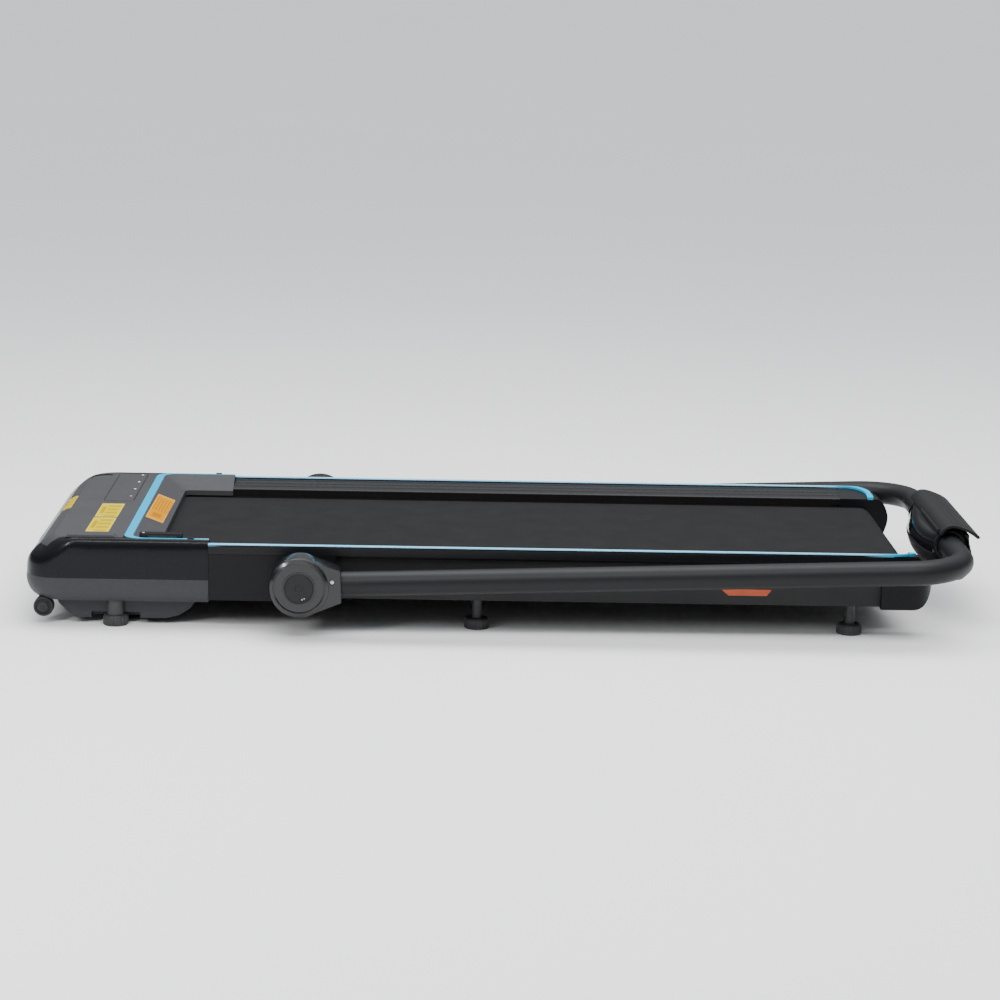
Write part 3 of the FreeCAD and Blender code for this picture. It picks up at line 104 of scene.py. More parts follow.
# %% Effect: moulded grain
GRAIN, source, result = new_group("Moulded grain", [("Scale", 900.0), ("Coarse share", 0.35)],
                                  ["Height", "Shade"])
fine = add(GRAIN, "TexVoronoi", {"Vector": source["Vector"], "Scale": source["Scale"]}, feature="SMOOTH_F1")
wide_scale = add(GRAIN, "Math", {0: source["Scale"], 1: 0.12}, operation="MULTIPLY")
wide = add(GRAIN, "TexNoise", {"Vector": source["Vector"], "Scale": wide_scale.outputs[0], "Detail": 4.0})
wide_part = add(GRAIN, "Math", {0: wide.outputs[0], 1: source["Coarse share"]}, operation="MULTIPLY")
height = add(GRAIN, "Math", {0: fine.outputs["Distance"], 1: wide_part.outputs[0]}, operation="ADD")
GRAIN.links.new(height.outputs[0], result["Height"])
GRAIN.links.new(wide.outputs[0], result["Shade"])
print("effect", GRAIN.name)

# %% [markdown]
# Hands, cloths and shoes leave a surface uneven in shine before they change its colour. The
# handling group gives a roughness between two values: broad cloudy patches, crossed by faint
# wiping streaks along the machine.

# %% Effect: handling marks
MARKS, source, result = new_group("Handling marks", [("Scale", 9.0), ("Low", 0.3), ("High", 0.5)], ["Value"])
cloud = add(MARKS, "TexNoise", {"Vector": source["Vector"], "Scale": source["Scale"], "Detail": 5.0,
                                "Roughness": 0.62})
stretch = add(MARKS, "VectorMath", {0: source["Vector"], 1: (0.08, 1.0, 1.0)}, operation="MULTIPLY")
streak_scale = add(MARKS, "Math", {0: source["Scale"], 1: 14.0}, operation="MULTIPLY")
streak = add(MARKS, "TexNoise", {"Vector": stretch.outputs[0], "Scale": streak_scale.outputs[0],
                                 "Detail": 3.0})
streak_part = add(MARKS, "Math", {0: streak.outputs[0], 1: 0.3, 2: cloud.outputs[0]},
                  operation="MULTIPLY_ADD")
spread = add(MARKS, "MapRange", {"Value": streak_part.outputs[0], "From Min": 0.35, "From Max": 0.95,
                                 "To Min": source["Low"], "To Max": source["High"]})
MARKS.links.new(spread.outputs[0], result["Value"])
print("effect", MARKS.name)

# %% [markdown]
# An edge is handled and knocked more than a face, so its coat polishes and pales first. The
# bevel node gives the normal of a rounded edge; where it differs from the true normal there is
# an edge. A noise breaks the line up, so the wear isn't a drawn outline.

# %% Effect: edge wear
WEAR, source, result = new_group("Edge wear", [("Radius", 0.0012), ("Amount", 0.5), ("Patch scale", 60.0)],
                                 ["Mask"])
rounded = add(WEAR, "Bevel", {"Radius": source["Radius"]}, samples=4)
place = add(WEAR, "NewGeometry")
alike = add(WEAR, "VectorMath", {0: rounded.outputs[0], 1: place.outputs["Normal"]}, operation="DOT_PRODUCT")
edge = add(WEAR, "MapRange", {"Value": alike.outputs["Value"], "From Min": 0.995, "From Max": 0.8})
patch = add(WEAR, "TexNoise", {"Vector": source["Vector"], "Scale": source["Patch scale"], "Detail": 5.0})
patch_share = add(WEAR, "MapRange", {"Value": patch.outputs[0], "From Min": 0.38, "From Max": 0.66})
worn = add(WEAR, "Math", {0: edge.outputs[0], 1: patch_share.outputs[0]}, operation="MULTIPLY")
worn_share = add(WEAR, "Math", {0: worn.outputs[0], 1: source["Amount"]}, operation="MULTIPLY")
WEAR.links.new(worn_share.outputs[0], result["Mask"])
print("effect", WEAR.name)

# %% [markdown]
# A machine that lies on the floor gathers dust on whatever faces up. The dust group weighs how
# far a face looks up against a soft noise. Its mask pales the colour and dulls the shine.

# %% Effect: dust film
DUST, source, result = new_group("Dust film", [("Amount", 0.1), ("Scale", 25.0)], ["Mask"])
place = add(DUST, "NewGeometry")
facing = add(DUST, "SeparateXYZ", {0: place.outputs["Normal"]})
upward = add(DUST, "MapRange", {"Value": facing.outputs["Z"], "From Min": 0.35, "From Max": 1.0})
drift = add(DUST, "TexNoise", {"Vector": source["Vector"], "Scale": source["Scale"], "Detail": 8.0,
                               "Roughness": 0.7})
drift_share = add(DUST, "MapRange", {"Value": drift.outputs[0], "From Min": 0.35, "From Max": 0.75})
settled = add(DUST, "Math", {0: upward.outputs[0], 1: drift_share.outputs[0]}, operation="MULTIPLY")
settled_share = add(DUST, "Math", {0: settled.outputs[0], 1: source["Amount"]}, operation="MULTIPLY")
DUST.links.new(settled_share.outputs[0], result["Mask"])
print("effect", DUST.name)


# %% [markdown]
# Nearly every part here is a coated or moulded solid, so one function lays the same four effects
# in the same order, and each finish brings its own numbers. Base colour goes from shade to wear
# to dust; roughness comes from the handling marks and the dust; the grain feeds a bump. What is
# the same all over a surface, such as the clear coat, is set on the shader itself.

# %% The layered finish
DUST_COLOUR = (0.42, 0.40, 0.37, 1)


def effect(tree, group, spot, **values):
    """Place one of the shared effects in a material with this material's values."""
    node = tree.nodes.new("ShaderNodeGroup")
    node.node_tree = group
    tree.links.new(spot, node.inputs["Vector"])
    for label, number in values.items():
        node.inputs[label.replace("_", " ")].default_value = number
    return node.outputs


def blank(name):
    """New material; returns it with its tree, its shader and the object's own coordinates."""
    material = bpy.data.materials.new(name)
    material.use_nodes = True
    tree = material.node_tree
    shader = tree.nodes["Principled BSDF"]
    spot = add(tree, "TexCoord").outputs["Object"]
    return material, tree, shader, spot


def finish(name, colour, shine, grain=(900, 0.05), worn=0.35, dust=0.02, shade=0.35, specular=0.3,
           coat=0.0, coat_roughness=0.1, metallic=0.0, paint=None, relief=None):
    """Layered finish. shine is the lowest and highest roughness; grain is its scale and depth in mm.

    paint and relief may be functions that return a colour or a height socket of their own.
    """
    material, tree, shader, spot = blank(name)
    scale, depth = grain
    texture = effect(tree, GRAIN, spot, Scale=float(scale))
    pale = tuple(min(1.0, part * (1 + shade)) for part in colour) + (1,)
    base = paint(tree, spot) if paint else mix_colour(tree, texture["Shade"], tuple(colour) + (1,), pale)
    rubbed = tuple(min(1.0, part * 1.8 + 0.012) for part in colour) + (1,)
    wear = effect(tree, WEAR, spot, Amount=worn)
    film = effect(tree, DUST, spot, Amount=dust)
    base = mix_colour(tree, wear["Mask"], base, rubbed)
    base = mix_colour(tree, film["Mask"], base, DUST_COLOUR)
    tree.links.new(base, shader.inputs["Base Color"])
    marks = effect(tree, MARKS, spot, Low=shine[0], High=shine[1])
    dull = add(tree, "Math", {0: film["Mask"], 1: 0.6, 2: marks["Value"]}, operation="MULTIPLY_ADD")
    dull.use_clamp = True
    tree.links.new(dull.outputs[0], shader.inputs["Roughness"])
    height = relief(tree, spot) if relief else texture["Height"]
    bump = add(tree, "Bump", {"Strength": 1.0, "Distance": depth * MM, "Height": height})
    tree.links.new(bump.outputs["Normal"], shader.inputs["Normal"])
    shader.inputs["Specular IOR Level"].default_value = specular
    shader.inputs["Coat Weight"].default_value = coat
    shader.inputs["Coat Roughness"].default_value = coat_roughness
    shader.inputs["Metallic"].default_value = metallic
    return material


FINISH = {}

# %% [markdown]
# The housing is two shells of ABS. The upper one is polished and lacquered, a blue-black that
# mirrors the lamps; the lower one, the belly, the covers and the caps are left with the mould's
# satin texture. Both could be one black, but the difference in shine is what separates them.

# %% Housing plastics
FINISH["shell_gloss"] = finish("lacquered_shell", (0.0028, 0.0030, 0.0042), (0.22, 0.32), grain=(120, 0.02),
                               worn=0.08, dust=0.003, specular=0.10, coat=0.12, coat_roughness=0.08)
FINISH["shell_satin"] = finish("satin_shell", (0.0240, 0.0240, 0.0275), (0.42, 0.56), grain=(1400, 0.05),
                               worn=0.2, dust=0.012, specular=0.22)
FINISH["panel_grey"] = finish("matte_panel", (0.027, 0.027, 0.031), (0.58, 0.68), grain=(1100, 0.12),
                              worn=0.3, dust=0.02, specular=0.3)
COVER = finish("smooth_cover", (0.0045, 0.0045, 0.0056), (0.34, 0.44), grain=(1400, 0.03), worn=0.12,
               dust=0.004, specular=0.14)
print("housing plastics ready")

# %% [markdown]
# The belt is a woven core with a PVC face, embossed with small diamonds for grip. A real weave
# in geometry would need millions of faces, so the emboss is two crossed sine waves, a few
# millimetres apart, in the height that the bump reads. The drive belt, the cushions and the
# wheels are plain rubber, each with its own darkness.

# %% Belt, drive belt and rubber
def crossed_waves(tree, spot, pitch):
    """Diamond emboss: two sine waves at 45 degrees to the belt, multiplied."""
    parts = []
    for turn in (1.0, -1.0):
        slant = add(tree, "VectorMath", {0: spot, 1: (1.0, turn, 0.0)}, operation="DOT_PRODUCT")
        phase = add(tree, "Math", {0: slant.outputs["Value"], 1: 2 * math.pi / pitch}, operation="MULTIPLY")
        parts.append(add(tree, "Math", {0: phase.outputs[0]}, operation="SINE").outputs[0])
    return add(tree, "Math", {0: parts[0], 1: parts[1]}, operation="MULTIPLY").outputs[0]


BELT_PITCH = 0.0034


def belt_paint(tree, spot):
    """Charcoal face, a little greyer on the diamonds and where feet land."""
    diamonds = crossed_waves(tree, spot, BELT_PITCH)
    tread = add(tree, "TexNoise", {"Vector": spot, "Scale": 5.0, "Detail": 6.0, "Roughness": 0.6})
    raised = add(tree, "MapRange", {"Value": diamonds, "From Min": -0.2, "From Max": 0.8})
    dark = mix_colour(tree, tread.outputs[0], (0.0058, 0.0058, 0.0066, 1), (0.0080, 0.0080, 0.0088, 1))
    return mix_colour(tree, raised.outputs[0], dark, (0.0120, 0.0120, 0.0128, 1))


FINISH["belt_rubber"] = finish("belt_face", (0.01, 0.01, 0.0105), (0.78, 0.84), grain=(1500, 0.14), worn=0.2,
                               dust=0.012, specular=0.12, paint=belt_paint,
                               relief=lambda tree, spot: crossed_waves(tree, spot, BELT_PITCH))
FINISH["drive_rubber"] = finish("drive_belt_rubber", (0.016, 0.016, 0.016), (0.5, 0.7), grain=(700, 0.1))
FINISH["cushion_rubber"] = finish("cushion_rubber", (0.03, 0.03, 0.03), (0.7, 0.85), grain=(500, 0.1))
FINISH["wheel_black"] = finish("wheel_rubber", (0.012, 0.012, 0.0125), (0.45, 0.62), grain=(800, 0.08),
                               dust=0.03, worn=0.4)
print("rubbers ready")

# %% [markdown]
# Powder coat is sprayed dry and baked, so it levels into a fine orange peel. That is a soft,
# wide grain at low depth under a satin shine. The tube, the frame and the motor case have it.

# %% Powder coats and bare metal
FINISH["tube_black"] = finish("tube_powder_coat", (0.0050, 0.0050, 0.0062), (0.42, 0.50), grain=(420, 0.035),
                              worn=0.1, dust=0.004, specular=0.22)
FINISH["frame_steel"] = finish("frame_powder_coat", (0.0050, 0.0050, 0.0056), (0.4, 0.55), grain=(420, 0.04),
                               worn=0.4, dust=0.01)
FINISH["motor_paint"] = finish("motor_case_paint", (0.05, 0.05, 0.055), (0.35, 0.5), grain=(600, 0.03))


def turned_steel(tree, spot):
    """Steel with the faint rings that a lathe leaves across the part."""
    across = add(tree, "SeparateXYZ", {0: spot})
    rings = add(tree, "TexNoise", {"W": across.outputs["Y"], "Scale": 2600.0, "Detail": 3.0},
                noise_dimensions="1D")
    return mix_colour(tree, rings.outputs[0], (0.42, 0.42, 0.43, 1), (0.62, 0.62, 0.63, 1))


FINISH["bare_steel"] = finish("turned_steel", (0.55, 0.55, 0.57), (0.22, 0.38), grain=(300, 0.01), worn=0.1,
                              dust=0.03, metallic=1.0, specular=0.5, paint=turned_steel)
print("metals ready")

# %% [markdown]
# The remaining mouldings differ in colour and polish: polished hubs, a softer knob, ribbed foot
# rails, coarse feet, a glass-smooth console face and a matte console body.

# %% Small mouldings
FINISH["rail_black"] = finish("ribbed_rail", (0.0042, 0.0042, 0.0050), (0.34, 0.46), grain=(900, 0.05),
                              worn=0.2, dust=0.006, specular=0.20)
FINISH["hub_black"] = finish("hub_plastic", (0.0050, 0.0050, 0.0056), (0.18, 0.28), grain=(700, 0.01),
                             worn=0.1, dust=0.004, specular=0.28, coat=0.35, coat_roughness=0.10)
FINISH["knob_grey"] = finish("knob_plastic", (0.0100, 0.0100, 0.0110), (0.45, 0.58), grain=(1400, 0.04),
                             worn=0.15, dust=0.006, specular=0.2)
FINISH["foot_black"] = finish("foot_plastic", (0.0280, 0.0280, 0.0300), (0.40, 0.54), grain=(1000, 0.06),
                              worn=0.35, dust=0.015)
FINISH["console_gloss"] = finish("console_face", (0.0025, 0.0025, 0.0030), (0.10, 0.18), grain=(80, 0.005),
                                 worn=0.05, dust=0.004, specular=0.3, coat=0.3, coat_roughness=0.03)
FINISH["console_grey"] = finish("console_body", (0.0070, 0.0070, 0.0080), (0.48, 0.60), grain=(1200, 0.05),
                                worn=0.12, dust=0.004, specular=0.18)
FINISH["button_grey"] = finish("soft_touch", (0.15, 0.15, 0.16), (0.55, 0.7), grain=(1200, 0.03))
FINISH["dark_window"] = finish("smoked_window", (0.026, 0.026, 0.030), (0.58, 0.68), grain=(1400, 0.04),
                               worn=0.15, dust=0.02, specular=0.3)
FINISH["reflector_orange"] = finish("reflector_lens", (0.36, 0.045, 0.002), (0.35, 0.45), grain=(500, 0.08),
                                    worn=0.05, dust=0.004, specular=0.15, coat=0.5, coat_roughness=0.05)
print("mouldings ready")

# %% [markdown]
# The light line is one co-moulded plastic: saturated cyan where it faces up round the housing
# and on the caps, and paler along the rails, where it is a thin edge. The paint reads the place
# along the machine, so one finish covers every stretch of the line. The deck's pressed board and
# the circuit board are painted in the same way, each by its own small function.

# %% Light line, wood and circuit board
CAP_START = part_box("end_cap_left")[0].x
LINE_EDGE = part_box("foot_rail_left")[1].z + 0.0012


def line_paint(tree, spot):
    """Cyan on the housing and the caps, pale blue along the rails."""
    along = add(tree, "SeparateXYZ", {0: spot}).outputs["X"]
    after_front = add(tree, "MapRange", {"Value": along, "From Min": -0.50, "From Max": -0.44}).outputs[0]
    before_cap = add(tree, "MapRange", {"Value": along, "From Min": CAP_START + 0.02,
                                        "From Max": CAP_START - 0.03}).outputs[0]
    middle = add(tree, "Math", {0: after_front, 1: before_cap}, operation="MULTIPLY").outputs[0]
    light = mix_colour(tree, middle, (0.0, 0.33, 0.56, 1), (0.24, 0.56, 0.80, 1))
    height = add(tree, "SeparateXYZ", {0: spot}).outputs["Z"]
    lower = add(tree, "Math", {0: height, 1: LINE_EDGE}, operation="LESS_THAN").outputs[0]
    root = add(tree, "Math", {0: lower, 1: middle}, operation="MULTIPLY").outputs[0]
    return mix_colour(tree, root, light, (0.004, 0.004, 0.005, 1))


def board_paint(tree, spot):
    """Pressed board: short stretched fibres."""
    long = add(tree, "VectorMath", {0: spot, 1: (12.0, 90.0, 400.0)}, operation="MULTIPLY")
    fibre = add(tree, "TexNoise", {"Vector": long.outputs[0], "Scale": 1.0, "Detail": 8.0})
    return mix_colour(tree, fibre.outputs[0], (0.20, 0.13, 0.07, 1), (0.42, 0.31, 0.19, 1))


def circuit_paint(tree, spot):
    """Green mask with copper lines in a grid under it."""
    tiles = add(tree, "TexBrick", {"Vector": spot, "Scale": 160.0, "Color1": (0.01, 0.10, 0.04, 1),
                                   "Color2": (0.015, 0.14, 0.05, 1), "Mortar": (0.10, 0.22, 0.06, 1),
                                   "Mortar Size": 0.05})
    return tiles.outputs["Color"]


FINISH["light_blue"] = finish("light_line", (0.2, 0.6, 0.8), (0.35, 0.45), grain=(900, 0.02), worn=0.03,
                              dust=0.003, specular=0.12, paint=line_paint)
FINISH["deck_wood"] = finish("pressed_board", (0.35, 0.26, 0.18), (0.5, 0.65), grain=(500, 0.1),
                             paint=board_paint)
FINISH["circuit"] = finish("circuit_board", (0.02, 0.14, 0.05), (0.3, 0.45), grain=(400, 0.05),
                           paint=circuit_paint)
print("finishes", len(FINISH))

# %% [markdown]
# A CAD edge has no radius, so it never catches a highlight, while every moulded or bent edge
# does. The mesh itself is not touched: a weld joins the seams that the file format cuts, a bevel
# rounds what is sharper than a given angle, and weighted normals keep the flat faces flat. The
# widths are in millimetres.

# %% Finish and round the frame
SOFT_EDGE = {"hub_shell_left": 0.8, "hub_shell_right": 0.8, "lock_knob_left": 0.4, "lock_knob_right": 0.4,
             "end_cap_left": 0.6, "end_cap_right": 0.6, "belly_pan": 0.8,
             "foot_rail_left": 0.5, "foot_rail_right": 0.5, "panel_grip": 1.2, "side_bridge": 1.0,
             "side_cover_left": 0.8, "side_cover_right": 0.8, "console_panel": 0.3,
             "display_window": 0.12, "power_inlet": 0.3, "power_rocker": 0.4,
             "foot_front_left": 0.4, "foot_front_right": 0.4, "foot_middle_left": 0.4,
             "foot_middle_right": 0.4, "foot_rear_left": 0.4, "foot_rear_right": 0.4,
             "transport_wheel_left": 0.5, "transport_wheel_right": 0.5, "cover_trim": 0.3,
             "side_accents": 0.4}
BEND_ANGLE = math.radians(35)


def soften(node, width):
    """Round the sharp edges of a frame part by modifiers alone."""
    part = frame["nodes"][node]
    weld = part.modifiers.new("join_seams", "WELD")
    weld.merge_threshold = 0.00002
    bevel = part.modifiers.new("round_edges", "BEVEL")
    bevel.limit_method = "ANGLE"
    bevel.angle_limit = BEND_ANGLE
    bevel.width = width * MM
    bevel.segments = 2
    level = part.modifiers.new("even_shading", "WEIGHTED_NORMAL")
    level.keep_sharp = True


slot_of = {item["node"]: item["material_slot"] for item in frame["record"]["subparts"]}
for node, part in frame["nodes"].items():
    part.data.materials.clear()
    part.data.materials.append(FINISH[slot_of[node]])
for node in ("side_cover_left", "side_cover_right", "end_cap_left", "end_cap_right"):
    frame["nodes"][node].data.materials[0] = COVER
for node, width in SOFT_EDGE.items():
    soften(node, width)
print("finished", len(slot_of), "frame parts, rounded", len(SOFT_EDGE))


# %% [markdown]
# The added trim lies on surfaces that curve, such as the nose. Its place could be typed in, but a
# ray that starts outside and stops at the frame's own mesh always lands on the surface, whatever
# its size. Two builders use it: a sheet with thickness for labels, and a strip that follows a
# line for seams and ledges. Both keep their underside a hair off the surface, SEATED millimetres,
# so that the two faces never share a place. A third builder turns a profile about an axis.

# %% Builders for pieces that lie on the frame
TREES = {}
SEATED = 0.02


def landing(node, start, direction):
    """Where a ray meets a frame part, and the surface's normal there."""
    if node not in TREES:
        mesh = frame["nodes"][node].data
        TREES[node] = BVHTree.FromPolygons([vertex.co for vertex in mesh.vertices],
                                           [polygon.vertices for polygon in mesh.polygons])
    spot, normal, _, _ = TREES[node].ray_cast(Vector(start), Vector(direction))
    if spot is None:
        raise ValueError("no surface of %s under %s" % (node, tuple(start)))
    if normal.dot(Vector(direction)) > 0:
        normal = -normal
    return spot, normal


def piece(name, points, faces, material, body, sharp=40):
    """Make a mesh object from points and faces, finish it, and let it ride on a body."""
    mesh = bpy.data.meshes.new(name)
    mesh.from_pydata([tuple(point) for point in points], [], faces)
    mesh.update()
    mesh.shade_smooth()
    mesh.set_sharp_from_angle(angle=math.radians(sharp))
    mesh.materials.append(material)
    made = bpy.data.objects.new(name, mesh)
    scene.collection.objects.link(made)
    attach(made, body)
    return made


def closed_grid(rows, columns, first=0):
    """Faces of one sheet of rows by columns points."""
    faces = []
    for row in range(rows - 1):
        for column in range(columns - 1):
            corner = first + row * columns + column
            faces.append((corner, corner + 1, corner + columns + 1, corner + columns))
    return faces


def laid_sheet(name, node, corners, material, body, proud=0.3, direction=(0, 0, -1), rows=9, columns=9):
    """Thin closed sheet on the surface; corners are plan points in order round the sheet."""
    above, below, share = [], [], []
    for row in range(rows):
        for column in range(columns):
            u, v = column / (columns - 1), row / (rows - 1)
            low = Vector(corners[0]).lerp(Vector(corners[1]), u)
            high = Vector(corners[3]).lerp(Vector(corners[2]), u)
            start = low.lerp(high, v)
            spot, normal = landing(node, start, direction)
            above.append(spot + normal * proud * MM)
            below.append(spot + normal * SEATED * MM)
            share.append((u, v, 0.0))
    count = rows * columns
    faces = closed_grid(rows, columns)
    faces += [tuple(reversed([index + count for index in face])) for face in closed_grid(rows, columns)]
    rim = list(range(columns)) + [row * columns + columns - 1 for row in range(1, rows)]
    rim += [(rows - 1) * columns + column for column in range(columns - 2, -1, -1)]
    rim += [row * columns for row in range(rows - 2, 0, -1)]
    for index, corner in enumerate(rim):
        following = rim[(index + 1) % len(rim)]
        faces.append((following, corner, corner + count, following + count))
    made = piece(name, above + below, faces, material, body)
    place = made.data.attributes.new("print_place", "FLOAT_VECTOR", "POINT")
    place.data.foreach_set("vector", [number for spot in share + share for number in spot])
    return made


def laid_strip(name, node, starts, direction, width, proud, material, body):
    """Raised strip along a line of starting points, with chamfered sides."""
    landed = [landing(node, start, direction) for start in starts]
    section = ((-0.5, SEATED), (-0.5, 0.6 * proud), (-0.3, proud), (0.3, proud), (0.5, 0.6 * proud),
               (0.5, SEATED))
    points = []
    for index, (spot, normal) in enumerate(landed):
        ahead = landed[min(index + 1, len(landed) - 1)][0] - landed[max(index - 1, 0)][0]
        side = normal.cross(ahead).normalized()
        for across, height in section:
            points.append(spot + side * across * width * MM + normal * height * MM)
    wide = len(section)
    faces = [tuple(reversed(range(wide))), tuple(range(len(points) - wide, len(points)))]
    for index in range(len(landed) - 1):
        for corner in range(wide):
            following = (corner + 1) % wide
            low, high = index * wide, (index + 1) * wide
            faces.append((low + corner, low + following, high + following, high + corner))
    return piece(name, points, faces, material, body, sharp=25)


def spun(name, profile, centre, axis, material, body, count=40, shape=None):
    """Solid turned about an axis; profile is (radius, height) pairs in mm, from pole to pole.

    A profile that starts off the axis is closed on itself, which makes a hoop with no poles.
    The shape function may change the radius of a ring by its number and its angle.
    """
    turn = Vector(axis).to_track_quat("Z", "Y").to_matrix()
    points, rings = [], []
    for number, (radius, height) in enumerate(profile):
        if radius == 0:
            rings.append([len(points)])
            points.append(Vector(centre) + turn @ Vector((0, 0, height * MM)))
            continue
        rings.append(list(range(len(points), len(points) + count)))
        for index in range(count):
            angle = 2 * math.pi * index / count
            reach = radius * (shape(number, angle) if shape else 1)
            points.append(Vector(centre) + turn @ Vector((reach * math.cos(angle) * MM,
                                                          reach * math.sin(angle) * MM, height * MM)))
    faces = []
    following_rings = rings[1:] + (rings[:1] if profile[0][0] else [])
    for low, high in zip(rings, following_rings):
        for index in range(count):
            following = (index + 1) % count
            if len(low) == 1:
                faces.append((low[0], high[following], high[index]))
            elif len(high) == 1:
                faces.append((low[index], low[following], high[0]))
            else:
                faces.append((low[index], low[following], high[following], high[index]))
    return piece(name, points, faces, material, body, sharp=30)


print("builders ready")

# %% [markdown]
# The labels are printed vinyl with rounded, slightly raised edges. Only their layout is kept: a
# pale border, a field of soft bars and a block where a pictogram would be, with no letters.
# The sheet carries its own place from 0 to 1 both ways, so one print fits any label. Each plan
# gives a label's corners from above, and its rays start at the height ABOVE and look down.

# %% Printed labels
def band(tree, value, low, high, edge=0.012):
    """1 between low and high, 0 outside, with a soft edge."""
    rise = add(tree, "MapRange", {"Value": value, "From Min": low - edge, "From Max": low + edge})
    fall = add(tree, "MapRange", {"Value": value, "From Min": high + edge, "From Max": high - edge})
    return add(tree, "Math", {0: rise.outputs[0], 1: fall.outputs[0]}, operation="MULTIPLY").outputs[0]


def label_print(name, ground, ink, rows):
    """Vinyl label: plain ground, faint printed bars and one darker block at its left."""
    def paint(tree, spot):
        place = add(tree, "Attribute", attribute_name="print_place").outputs["Vector"]
        axes = add(tree, "SeparateXYZ", {0: place})
        u, v = axes.outputs["X"], axes.outputs["Y"]
        inside = add(tree, "Math", {0: band(tree, u, 0.05, 0.95), 1: band(tree, v, 0.07, 0.93)},
                     operation="MULTIPLY").outputs[0]
        field = mix_colour(tree, inside, tuple(min(1, part * 1.1 + 0.04) for part in ground) + (1,),
                           tuple(ground) + (1,))
        steps = add(tree, "Math", {0: v, 1: 2 * math.pi * rows}, operation="MULTIPLY")
        wave = add(tree, "Math", {0: steps.outputs[0]}, operation="SINE").outputs[0]
        bars = add(tree, "MapRange", {"Value": wave, "From Min": 0.2, "From Max": 0.6}).outputs[0]
        ragged = add(tree, "TexNoise", {"Vector": place, "Scale": 4.0, "Detail": 0.0}).outputs[0]
        text_edge = add(tree, "MapRange", {"Value": ragged, "To Min": 0.75, "To Max": 0.98}).outputs[0]
        reach = add(tree, "Math", {0: u, 1: text_edge}, operation="LESS_THAN").outputs[0]
        zone = add(tree, "Math", {0: band(tree, u, 0.36, 0.92), 1: bars}, operation="MULTIPLY").outputs[0]
        zone = add(tree, "Math", {0: zone, 1: reach}, operation="MULTIPLY").outputs[0]
        block = add(tree, "Math", {0: band(tree, u, 0.12, 0.28), 1: band(tree, v, 0.25, 0.75)},
                    operation="MULTIPLY").outputs[0]
        marks = add(tree, "Math", {0: zone, 1: block}, operation="MAXIMUM").outputs[0]
        faint = add(tree, "Math", {0: marks, 1: 0.45}, operation="MULTIPLY").outputs[0]
        return mix_colour(tree, faint, field, tuple(ink) + (1,))
    return finish(name, ground, (0.55, 0.65), grain=(700, 0.02), worn=0.02, dust=0.003, specular=0.06,
                  paint=paint)


YELLOW = label_print("yellow_label", (0.50, 0.37, 0.0), (0.12, 0.08, 0.0), 4)
AMBER = label_print("amber_label", (0.50, 0.21, 0.0), (0.22, 0.05, 0.0), 6)
ABOVE = 0.3
DOWN = (0, 0, -1)
LABELS = (
    ("panel_label_near", "top_panel", YELLOW,
     ((-0.6545, -0.217), (-0.6190, -0.217), (-0.6185, -0.113), (-0.6540, -0.113))),
    ("panel_label_far", "top_panel", YELLOW,
     ((-0.6540, -0.106), (-0.6185, -0.106), (-0.6180, -0.004), (-0.6540, -0.004))),
    ("nose_label", "top_panel", YELLOW,
     ((-0.7190, -0.008), (-0.7010, -0.040), (-0.7010, 0.056), (-0.7190, 0.088))),
    ("bezel_label", "front_bezel", AMBER,
     ((-0.5495, -0.080), (-0.5478, 0.106), (-0.5738, 0.090), (-0.5752, -0.095))),
)
for name, node, print_finish, plan in LABELS:
    laid_sheet(name, node, [Vector((x, y, ABOVE)) for x, y in plan], print_finish, "deck")
print("labels", len(LABELS))

# %% [markdown]
# Four lamps show through the rear edge of the window. Each is a shallow moulded lens, so a
# turned dome is enough; three are clear and the one nearest the walker's left is red.

# %% Indicator lamps
CLEAR = finish("clear_lamp", (0.55, 0.56, 0.58), (0.1, 0.2), grain=(300, 0.01), worn=0.0, dust=0.0, coat=0.6)
RED = finish("red_lamp", (0.45, 0.20, 0.19), (0.1, 0.2), grain=(300, 0.01), worn=0.0, dust=0.0, coat=0.6)
window_low, window_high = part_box("display_window")
LAMP_COUNT = 4
LAMP_STEP = 0.06
LAMP_INSET = 0.0075
LAMP_DOME = [(0, 0.0), (2.2, 0.0), (2.2, 0.35), (1.6, 0.75), (0.8, 0.95), (0, 1.0)]
for index in range(LAMP_COUNT):
    side = 0.06 + LAMP_STEP * index
    spot, normal = landing("display_window", (window_high.x - LAMP_INSET, side, ABOVE), DOWN)
    lens = RED if index == 0 else CLEAR
    spun("indicator_%d" % (index + 1), LAMP_DOME, spot, normal, lens, "deck", count=24)
print("lamps on the window at z", round(window_high.z, 4))

# %% [markdown]
# The window is set in with a soft dark seal. Four narrow strips along its edges show it, and
# stop a little short of the corners so they don't run into each other.

# %% Window seal
SEAL_OUT = Vector((0.0012, 0.0012, 0))
SEAL_STEPS = 12
SEAL_SHORT = 0.03
seal_low = window_low - SEAL_OUT
seal_high = window_high + SEAL_OUT
around = [(seal_low.x, seal_low.y), (seal_high.x, seal_low.y), (seal_high.x, seal_high.y),
          (seal_low.x, seal_high.y)]
for index, (first, last) in enumerate(zip(around, around[1:] + around[:1])):
    start = Vector((*first, ABOVE))
    end = Vector((*last, ABOVE))
    starts = [start.lerp(end, SEAL_SHORT + (1 - 2 * SEAL_SHORT) * step / SEAL_STEPS)
              for step in range(SEAL_STEPS + 1)]
    laid_strip("window_seal_%d" % (index + 1), "top_panel", starts, DOWN, 1.3, 0.2,
               FINISH["tube_black"], "deck")
print("seal round the window, from X", round(seal_low.x, 4), "to", round(seal_high.x, 4))

# %% [markdown]
# Three pan-head screws show: one in each hub's neck and one on the small bridge. A pan head is a
# turned dome whose inner rings turn into a hexagon, so the driver socket is real geometry. One
# builder makes each at its own size. The rays that find a hub's side start OUTSIDE the machine.

